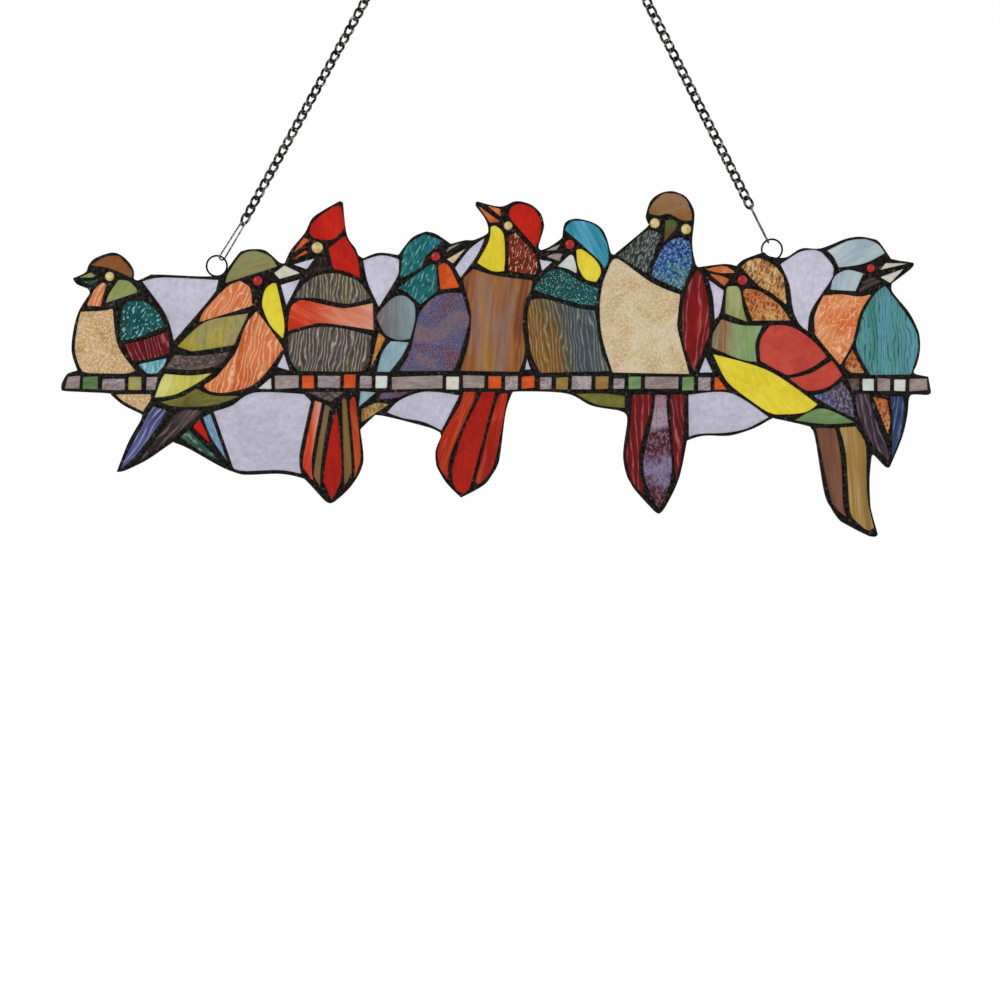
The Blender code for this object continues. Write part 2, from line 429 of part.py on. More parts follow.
def curve_stretch(before, start, end, after):
    """Points on a Catmull-Rom curve from start up to end, which is left out."""
    stretch = []
    for step in range(CURVE_STEPS):
        t = step / CURVE_STEPS
        rise = (end - before) * t
        bend = (2 * before - 5 * start + 4 * end - after) * t ** 2
        twist = (3 * start - before - 3 * end + after) * t ** 3
        stretch.append((2 * start + rise + bend + twist) / 2)
    return stretch


def thin_out(points):
    """Keep only the points that the allowed sag needs."""
    start = points[0]
    chord = points[-1] - start
    offsets = [abs(chord.cross(point - start)) / chord.length for point in points[1:-1]]
    if not offsets or max(offsets) <= CURVE_SAG:
        return [start, points[-1]]
    middle = offsets.index(max(offsets)) + 1
    return thin_out(points[:middle + 1])[:-1] + thin_out(points[middle:])


def smooth_outline(text):
    """A closed outline: a smooth curve between its corners, with the points its sag needs."""
    words = text.split()
    is_corner = [word.endswith("c") for word in words]
    points = [on_cartoon(*map(float, word.rstrip("c").split(","))) for word in words]
    count = len(points)
    stops = [index for index in range(count) if is_corner[index]]
    if len(stops) < 2:
        stops = sorted({*stops, 0, count // 2})
    fine = []
    kept = []
    for index in range(count):
        after_next = (index + 2) % count
        follow = (index + 1) % count
        before = points[index] if is_corner[index] else points[index - 1]
        after = points[follow] if is_corner[follow] else points[after_next]
        if index in stops:
            kept.append(len(fine))
        fine += curve_stretch(before, points[index], points[follow], after)
    loop = []
    for first, last in zip(kept, kept[1:] + [kept[0] + len(fine)]):
        stretch = [fine[step % len(fine)] for step in range(first, last + 1)]
        loop += thin_out(stretch)[:-1]
    return counter_clockwise(loop)


def tile_outlines(text):
    """The four-cornered tiles, one between each pair of bars or line ends."""
    for tile in text.strip().replace("\n", "|").split("|"):
        corners = [on_cartoon(*map(float, word.split(","))) for word in tile.split()]
        yield counter_clockwise(corners)


def circle(centre, radius, sides):
    return [centre + radius * Vector((math.cos(turn), math.sin(turn)))
            for turn in (2 * math.pi * side / sides for side in range(sides))]


def inset(loop, distance):
    """The loop moved inwards by the distance, its corners mitred."""
    moved = []
    for index, corner in enumerate(loop):
        arriving = (corner - loop[index - 1]).normalized()
        leaving = (loop[(index + 1) % len(loop)] - corner).normalized()
        bisector = Vector((-arriving.y - leaving.y, arriving.x + leaving.x))
        moved.append(corner + bisector * distance / (1 + arriving.dot(leaving)))
    return moved


def is_inside(point, loop):
    """Whether a flat point lies inside a closed loop."""
    inside = False
    for a, b in zip(loop, loop[1:] + loop[:1]):
        if (a.y > point.y) != (b.y > point.y):
            crossing = a.x + (point.y - a.y) * (b.x - a.x) / (b.y - a.y)
            inside ^= point.x < crossing
    return inside


def add_walls(bm, front, back, inward=False):
    """Join two loops, front and back, by quads that face outward or into a hole."""
    for index in range(len(front)):
        follow = (index + 1) % len(front)
        quad = [front[follow], front[index], back[index], back[follow]]
        bm.faces.new(quad[::-1] if inward else quad)


def add_loop(bm, loop, depth):
    return [bm.verts.new(in_space(point, depth)) for point in loop]


def add_cap(bm, loops, depth, faces_back=False):
    """A flat face with holes: the first loop is its rim. Returns the vertices of each loop."""
    edges = []
    first = 0
    for loop in loops:
        size = len(loop)
        edges += [(first + step, first + (step + 1) % size) for step in range(size)]
        first += size
    corners = [point for loop in loops for point in loop]
    owners = [number for number, loop in enumerate(loops) for _ in loop]
    faces = delaunay_2d_cdt(corners, edges, [], TRIANGLES_INSIDE, MERGE_DISTANCE)[2]
    verts = add_loop(bm, corners, depth)
    for face in faces:
        owner = owners[face[0]]
        one_loop = owner > 0 and all(owners[index] == owner for index in face)
        middle = sum((corners[index] for index in face), Vector((0, 0))) / len(face)
        if one_loop and is_inside(middle, loops[owner]):
            continue
        ring = [verts[index] for index in face]
        bm.faces.new(ring[::-1] if faces_back else ring)
    rings = []
    first = 0
    for loop in loops:
        rings.append(verts[first:first + len(loop)])
        first += len(loop)
    return rings


def make_seams(rim, openings, recesses, material):
    """The solder lattice: a plate with an opening for each cut pane and recesses for small ones."""
    bm = bmesh.new()
    front = add_cap(bm, [rim, *openings, *recesses], -SEAM_HALF)
    back = add_cap(bm, [rim, *openings], SEAM_HALF, faces_back=True)
    add_walls(bm, front[0], back[0])
    through = 1 + len(openings)
    for near, far in zip(front[1:through], back[1:]):
        add_walls(bm, near, far, inward=True)
    for loop, near in zip(recesses, front[through:]):
        floor = add_loop(bm, loop, -GLASS_HALF)
        add_walls(bm, near, floor, inward=True)
        bm.faces.new(floor)
    return add_object("solder_seams", bm, material)


def make_pane(name, loop, material):
    """One pane of glass, let into its opening with a small gap all round."""
    bm = bmesh.new()
    edge = inset(loop, FIT_GAP)
    front = add_loop(bm, edge, -GLASS_HALF)
    back = add_loop(bm, edge, GLASS_HALF)
    bm.faces.new(front)
    bm.faces.new(back[::-1])
    add_walls(bm, front, back)
    return add_object(name, bm, material)


def make_eye(name, centre, radius, material):
    """A round glass eye: a disc with a domed front that stands proud of the seams."""
    bm = bmesh.new()
    rounds = [(0.0, radius), (1.0, radius * EYE_FLAT)]
    back = add_loop(bm, circle(centre, radius, EYE_SIDES), GLASS_HALF)
    bm.faces.new(back[::-1])
    behind = back
    for share, ring_radius in rounds:
        ring = add_loop(bm, circle(centre, ring_radius, EYE_SIDES), -SEAM_HALF - share * EYE_BULGE)
        add_walls(bm, ring, behind)
        behind = ring
    bm.faces.new(behind)
    return add_object(name, bm, material, smooth=True)


def make_wire(name, path, plane_normal, wire, material, closed=True):
    """Round wire bent along a flat path."""
    bm = bmesh.new()
    rings = []
    for index, point in enumerate(path):
        ahead = path[(index + 1) % len(path)] if closed or index + 1 < len(path) else point
        behind = path[index - 1] if closed or index else point
        side = plane_normal.cross(ahead - behind).normalized()
        ring = []
        for step in range(WIRE_SIDES):
            turn = 2 * math.pi * step / WIRE_SIDES
            offset = side * math.cos(turn) + plane_normal * math.sin(turn)
            ring.append(bm.verts.new(point + offset * wire / 2))
        rings.append(ring)
    pairs = list(zip(rings, rings[1:] + rings[:1]))
    for ring, follow in pairs if closed else pairs[:-1]:
        add_walls(bm, ring, follow)
    if not closed:
        bm.faces.new(rings[0])
        bm.faces.new(rings[-1][::-1])
    bmesh.ops.recalc_face_normals(bm, faces=bm.faces)
    return add_object(name, bm, material, smooth=True)


def make_ring(name, centre, first, last, material):
    """A hanging ring, its arc cut short where the solder of the panel's edge takes over."""
    steps = round((last - first) / RING_STEP_DEGREES)
    turns = [math.radians(first + (last - first) * step / steps) for step in range(steps + 1)]
    middle = on_cartoon(*centre)
    path = [in_space(middle + RING_RADIUS * UNIT * Vector((math.cos(turn), math.sin(turn))))
            for turn in turns]
    return make_wire(name, path, Vector((0, 1, 0)), RING_WIRE, material, closed=False)


def make_link(name, centre, along, across, material):
    """One oval chain link."""
    long_half = (LINK_LENGTH - LINK_WIRE) / 2
    wide_half = (LINK_WIDTH - LINK_WIRE) / 2
    path = []
    for side in range(LINK_SIDES):
        turn = 2 * math.pi * side / LINK_SIDES
        path.append(centre + along * long_half * math.cos(turn)
                    + across * wide_half * math.sin(turn))
    return make_wire(name, path, along.cross(across), LINK_WIRE, material)


def make_clip(name, top, bottom, across, material):
    """A wire clip closed round two wires, split in the middle of one side."""
    along = (bottom - top).normalized()
    middle = (top + bottom) / 2
    path = [middle + across * CLIP_HALF_WIDTH + along * CLIP_SPLIT]
    for end, start_turn in ((bottom, 0.0), (top, math.pi)):
        for step in range(CLIP_END_STEPS + 1):
            turn = start_turn + math.pi * step / CLIP_END_STEPS
            path.append(end + CLIP_HALF_WIDTH * (across * math.cos(turn)
                                                 + along * math.sin(turn)))
    path.append(middle + across * CLIP_HALF_WIDTH - along * CLIP_SPLIT)
    return make_wire(name, path, along.cross(across), HOOK_WIRE, material, closed=False)


def make_leg(name, top, bottom, material):
    """One leg of twisted chain as a single body: wide at each link, narrow between links."""
    along = (bottom - top).normalized()
    across = Vector((0, 1, 0)).cross(along)
    depth = Vector((0, 1, 0))
    links = round((bottom - top).length / LINK_PITCH)
    bm = bmesh.new()
    rings = []
    for step in range(2 * links + 1):
        centre = top.lerp(bottom, step / (2 * links))
        wide = step % 2
        side = across * (LINK_WIDTH if wide else LEG_THICK) / 2
        thick = depth * (LEG_THICK if wide else LEG_WAIST) / 2
        rings.append([bm.verts.new(centre + side), bm.verts.new(centre + thick),
                      bm.verts.new(centre - side), bm.verts.new(centre - thick)])
    for ring, follow in zip(rings, rings[1:]):
        add_walls(bm, ring, follow)
    bm.faces.new(rings[0])
    bm.faces.new(rings[-1][::-1])
    bmesh.ops.recalc_face_normals(bm, faces=bm.faces)
    return add_object(name, bm, material)


def make_hanging(side, ring_centre, materials):
    """One side's chain leg, its last link and the clip from that link down to the ring."""
    outward = in_space(on_cartoon(*CHAIN_ENDS[side])).normalized()
    link_centre = in_space(on_cartoon(*CHAIN_ENDS[side]))
    link_foot = link_centre + outward * (LINK_LENGTH - LINK_WIRE) / 2
    ring_middle = in_space(on_cartoon(*ring_centre))
    ring_top = ring_middle + (link_foot - ring_middle).normalized() * RING_RADIUS * UNIT
    along = (ring_top - link_foot).normalized()
    turn = math.radians(CLIP_TURN[side])
    sideways = along.cross(Vector((0, 1, 0)))
    clip_across = Vector((0, math.cos(turn), 0)) + sideways * math.sin(turn)
    link_across = outward.cross(clip_across).normalized()
    make_clip("clip_" + side, link_foot, ring_top, clip_across, materials["hook_metal"])
    make_link("end_link_" + side, link_centre, outward, link_across, materials["chain_metal"])
    leg_top = outward * (LINK_WIDTH + LINK_WIRE)
    leg_foot = link_centre - outward * (LINK_LENGTH / 2 + FIT_GAP)
    make_leg("chain_" + side, leg_top, leg_foot, materials["chain_metal"])


def main():
    clear_scene()
    materials = make_materials()
    cut = {name: smooth_outline(text) for name, _, text in CUT_PANES}
    eyes = {name: (on_cartoon(*centre), radius * UNIT)
            for name, (centre, radius, _) in EYES.items()}
    eye_holes = [circle(centre, radius, EYE_SIDES) for centre, radius in eyes.values()]
    small = [smooth_outline(text) for text in SMALL_PANES.values()]
    small += list(tile_outlines(PERCH_TILES))
    make_seams(smooth_outline(SILHOUETTE), [*cut.values(), *eye_holes], small,
               materials["solder"])
    for name, glass, _ in CUT_PANES:
        make_pane(name, cut[name], materials[glass])
    for name, (centre, radius) in eyes.items():
        make_eye(name, centre, radius - FIT_GAP, materials[EYES[name][2]])
    for name, (centre, first, last) in RINGS.items():
        make_ring(name, centre, first, last, materials["chain_metal"])
        make_hanging(name.split("_")[1], centre, materials)
    top_link = Vector((0, 0, LINK_WIRE - LINK_WIDTH / 2))
    make_link("top_link", top_link, Vector((1, 0, 0)), Vector((0, 0, 1)),
              materials["chain_metal"])


main()
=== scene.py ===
# %% [markdown]
# # A stained glass panel of birds on a perch
# The real panel is cut glass wrapped in copper foil, soldered on both faces and blackened. It hangs
# from a chain by two rings. The solids give every outline, so this script only dresses them: it reads
# the outlines back, smooths them, and models the solder, the rolled glass and the chain finely.

# %% Load the solids
import math
from collections import namedtuple

import bmesh
import bpy
from mathutils import Matrix, Vector, noise
from mathutils.geometry import delaunay_2d_cdt


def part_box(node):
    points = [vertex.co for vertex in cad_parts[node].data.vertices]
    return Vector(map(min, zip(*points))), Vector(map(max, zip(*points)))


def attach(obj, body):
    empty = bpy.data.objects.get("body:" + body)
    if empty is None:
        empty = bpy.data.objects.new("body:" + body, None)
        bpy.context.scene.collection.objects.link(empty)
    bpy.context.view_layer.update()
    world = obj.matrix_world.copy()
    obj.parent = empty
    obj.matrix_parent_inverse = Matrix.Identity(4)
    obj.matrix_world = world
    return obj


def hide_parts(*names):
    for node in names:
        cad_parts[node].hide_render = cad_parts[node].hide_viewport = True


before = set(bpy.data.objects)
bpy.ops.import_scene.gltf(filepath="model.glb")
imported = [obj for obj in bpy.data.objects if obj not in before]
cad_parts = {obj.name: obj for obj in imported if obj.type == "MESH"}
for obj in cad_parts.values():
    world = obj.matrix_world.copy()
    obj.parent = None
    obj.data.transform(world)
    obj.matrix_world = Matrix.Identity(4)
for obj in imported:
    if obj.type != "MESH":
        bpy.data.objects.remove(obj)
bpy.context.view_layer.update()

print("solids loaded:", len(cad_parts))

# %% [markdown]
# Places on the panel are named on the same cartoon grid that the solids were traced on, x to the right
# and y down. One unit of the grid is the panel's real width over its width on the grid, and the chain's
# top is the origin.

# %% The cartoon grid and the main sizes
PANEL_WIDTH = 0.610
CARTOON_WIDTH = 868.7
CARTOON_APEX = (512.0, -266.0)
UNIT = PANEL_WIDTH / CARTOON_WIDTH
SEAM_LOW, SEAM_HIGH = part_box("solder_seams")
SEAM_HALF = SEAM_HIGH.y
GLASS_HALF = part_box("sky_left")[1].y


def on_panel(x, y):
    return Vector(((x - CARTOON_APEX[0]) * UNIT, (CARTOON_APEX[1] - y) * UNIT))


def add_piece(name, bm, material, slot, smooth=True):
    """A finished mesh piece that moves with the panel."""
    mesh = bpy.data.meshes.new(name)
    bm.to_mesh(mesh)
    bm.free()
    mesh.materials.append(material)
    if smooth:
        mesh.shade_smooth()
    piece = bpy.data.objects.new(name, mesh)
    bpy.context.scene.collection.objects.link(piece)
    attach(piece, "root")
    return piece


print("grid unit in mm:", round(UNIT * 1000, 4))

# %% [markdown]
# The front face of the solder lattice borders on every pane. Its boundary edges, walked one after the
# other, give the panel's rim and the outline of each pane.

# %% Read the outlines from the lattice
WELD = 1e-5


def front_outlines(node):
    bm = bmesh.new()
    bm.from_mesh(node.data)
    bmesh.ops.remove_doubles(bm, verts=bm.verts, dist=WELD)
    front = {face for face in bm.faces
             if all(abs(vert.co.y - SEAM_LOW.y) < WELD for vert in face.verts)}
    follower = {}
    for face in front:
        for corner in face.loops:
            if sum(other in front for other in corner.edge.link_faces) == 1:
                follower[corner.vert] = corner.link_loop_next.vert
    outlines = []
    while follower:
        start, vert = follower.popitem()
        outline = [start.co.xz, ]
        while vert != start:
            outline.append(vert.co.xz)
            vert = follower.pop(vert)
        outlines.append([point.copy() for point in outline])
    bm.free()
    return outlines


def area(outline):
    return sum(a.cross(b) for a, b in zip(outline, outline[1:] + outline[:1])) / 2


outlines = front_outlines(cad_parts["solder_seams"])
outlines.sort(key=lambda outline: -abs(area(outline)))
rim, pane_outlines = outlines[0], [outline[::-1] for outline in outlines[1:]]
print("panes and eyes found:", len(pane_outlines))

# %% [markdown]
# The traced solids have straight sides between their points. A curve through those points brings the
# cutter's smooth line back, and each sharp corner gets the small round that solder leaves.

# %% Smooth an outline
CORNER_TURN = math.radians(48)
STEP = 0.0022
CORNER_ROUND = 0.0005


def turn_at(outline, index):
    arriving = outline[index] - outline[index - 1]
    leaving = outline[(index + 1) % len(outline)] - outline[index]
    return abs(arriving.angle_signed(leaving, 0.0))


def curve_points(before, start, end, after):
    steps = max(1, math.ceil((end - start).length / STEP))
    for step in range(steps):
        t = step / steps
        rise = (end - before) * t
        bend = (2 * before - 5 * start + 4 * end - after) * t ** 2
        twist = (3 * start - before - 3 * end + after) * t ** 3
        yield (2 * start + rise + bend + twist) / 2


def smooth_outline(outline):
    count = len(outline)
    sharp = [turn_at(outline, index) > CORNER_TURN for index in range(count)]
    curve = []
    for index in range(count):
        start, end = outline[index], outline[(index + 1) % count]
        before = start if sharp[index] else outline[index - 1]
        after = end if sharp[(index + 1) % count] else outline[(index + 2) % count]
        points = list(curve_points(before, start, end, after))
        if sharp[index]:
            reach = min(CORNER_ROUND, (end - start).length / 4)
            back = start + (outline[index - 1] - start).normalized() * reach
            onward = start + (end - start).normalized() * reach
            points[:1] = [back, (back + 2 * start + onward) / 4, onward]
        curve += points
    return curve


smooth_rim = smooth_outline(rim)
smooth_panes = [smooth_outline(outline) for outline in pane_outlines]
print("outline points:", len(smooth_rim) + sum(map(len, smooth_panes)))

# %% [markdown]
# Glass and metal share a few shader effects. Each effect is a node group that puts out masks, and each
# material places it with its own scale. The glass figure is the colour that streams through a sheet.

# %% Node groups for glass and metal
def new_group(name, inputs, outputs):
    group = bpy.data.node_groups.new(name, "ShaderNodeTree")
    for label, kind, value in inputs:
        socket = group.interface.new_socket(label, in_out="INPUT", socket_type=kind)
        if value is not None:
            socket.default_value = value
    for label in outputs:
        group.interface.new_socket(label, in_out="OUTPUT", socket_type="NodeSocketFloat")
    return group, group.nodes.new("NodeGroupInput"), group.nodes.new("NodeGroupOutput")


def remap(tree, value, low, high, new_low=0.0, new_high=1.0):
    node = tree.nodes.new("ShaderNodeMapRange")
    for label, number in (("From Min", low), ("From Max", high),
                          ("To Min", new_low), ("To Max", new_high)):
        node.inputs[label].default_value = number
    tree.links.new(value, node.inputs["Value"])
    return node.outputs["Result"]


def multiply(tree, value, factor):
    node = tree.nodes.new("ShaderNodeMath")
    node.operation = "MULTIPLY"
    tree.links.new(value, node.inputs[0])
    if isinstance(factor, bpy.types.NodeSocket):
        tree.links.new(factor, node.inputs[1])
    else:
        node.inputs[1].default_value = factor
    return node.outputs[0]


def noise_texture(tree, vector, scale, **values):
    node = tree.nodes.new("ShaderNodeTexNoise")
    tree.links.new(vector, node.inputs["Vector"])
    tree.links.new(scale, node.inputs["Scale"])
    for label, number in values.items():
        node.inputs[label].default_value = number
    return node


MOTTLE_FINER = 9.0
PITS_FINER = 3.0
RIDGE_SHARE = 0.2
FACE_INPUTS = [("Vector", "NodeSocketVector", None), ("Scale", "NodeSocketFloat", 300.0)]


def make_figure_group():
    """Streaks or clouds of colour in a sheet of glass, with a finer mottle over them."""
    group, given, result = new_group(
        "glass_figure",
        [("Vector", "NodeSocketVector", None), ("Scale", "NodeSocketFloat", 60.0),
         ("Warp", "NodeSocketFloat", 1.2)],
        ["Figure", "Mottle"])
    vector, scale = given.outputs["Vector"], given.outputs["Scale"]
    broad = noise_texture(group, vector, scale, Detail=3.0, Roughness=0.55)
    group.links.new(given.outputs["Warp"], broad.inputs["Distortion"])
    mottle = noise_texture(group, vector, multiply(group, scale, MOTTLE_FINER), Detail=2.0)
    group.links.new(remap(group, broad.outputs["Fac"], 0.3, 0.7), result.inputs["Figure"])
    group.links.new(mottle.outputs["Fac"], result.inputs["Mottle"])
    return group


def make_patina_group():
    """Worn patches and small pits of blackened metal; the brightest wear also places painted highlights."""
    group, given, result = new_group("black_patina", FACE_INPUTS, ["Wear", "Pits"])
    vector, scale = given.outputs["Vector"], given.outputs["Scale"]
    wear = noise_texture(group, vector, scale, Detail=4.0, Roughness=0.6)
    pits = group.nodes.new("ShaderNodeTexVoronoi")
    group.links.new(vector, pits.inputs["Vector"])
    group.links.new(multiply(group, scale, PITS_FINER), pits.inputs["Scale"])
    group.links.new(wear.outputs["Fac"], result.inputs["Wear"])
    group.links.new(pits.outputs["Distance"], result.inputs["Pits"])
    return group


def make_rolled_group():
    """The pattern pressed into rolled glass, as masks for painted light: ridge lines, painted shade in the
    hollows, and highlight specks and glints.
    """
    group, given, result = new_group(
        "rolled_face", FACE_INPUTS, ["Height", "Lines", "Hollows", "Painted_Speck_Highlights", "Glints"])
    fold = noise_texture(group, given.outputs["Vector"], given.outputs["Scale"],
                         Detail=1.5, Distortion=0.5)
    group.links.new(fold.outputs["Fac"], result.inputs["Height"])
    centred = group.nodes.new("ShaderNodeMath")
    centred.operation = "SUBTRACT"
    centred.inputs[1].default_value = 0.5
    group.links.new(fold.outputs["Fac"], centred.inputs[0])
    distance = group.nodes.new("ShaderNodeMath")
    distance.operation = "ABSOLUTE"
    group.links.new(centred.outputs[0], distance.inputs[0])
    # Painted light and shade: the lines follow the ridges and take a painted ridge colour, the hollows take
    # painted shade, and the specks and glints are painted highlights.
    for label, source, low, high, start, end in (
            ("Lines", distance, 0.0, 0.035, 1.0, 0.0), ("Hollows", distance, 0.05, 0.13, 0.0, 1.0),
            ("Painted_Speck_Highlights", fold, 0.50, 0.62, 0.0, 1.0), ("Glints", fold, 0.575, 0.64, 0.0, 1.0)):
        band = remap(group, source.outputs[0], low, high, start, end)
        group.links.new(band, result.inputs[label])
    return group


def make_rippled_group():
    """The long wavering ridges of rippled glass, with masks for painted light on their crests and painted
    shade in their troughs.
    """
    group, given, result = new_group("rippled_face", FACE_INPUTS, ["Height", "Lines", "Hollows"])
    vector, scale = given.outputs["Vector"], given.outputs["Scale"]
    ridges = group.nodes.new("ShaderNodeTexWave")
    ridges.bands_direction = "Y"
    for label, number in (("Distortion", 12.0), ("Detail", 2.0), ("Detail Scale", 1.0)):
        ridges.inputs[label].default_value = number
    group.links.new(multiply(group, scale, RIDGE_SHARE), ridges.inputs["Scale"])
    group.links.new(vector, ridges.inputs["Vector"])
    group.links.new(ridges.outputs["Fac"], result.inputs["Height"])
    fading = noise_texture(group, vector, scale)
    strength = remap(group, fading.outputs["Fac"], 0.38, 0.56, 0.25)
    # Painted light and shade: the crests take the painted ridge colour and the troughs take painted shade,
    # both fading in and out along the ridges.
    for label, low, high, start, end in (("Lines", 0.78, 1.0, 0.0, 1.0),
                                         ("Hollows", 0.0, 0.4, 1.0, 0.0)):
        band = remap(group, ridges.outputs["Fac"], low, high, start, end)
        group.links.new(multiply(group, band, strength), result.inputs[label])
    return group


FIGURE = make_figure_group()
ROLLED = make_rolled_group()
RIPPLED = make_rippled_group()
PATINA = make_patina_group()
print("node groups:", [group.name for group in bpy.data.node_groups])
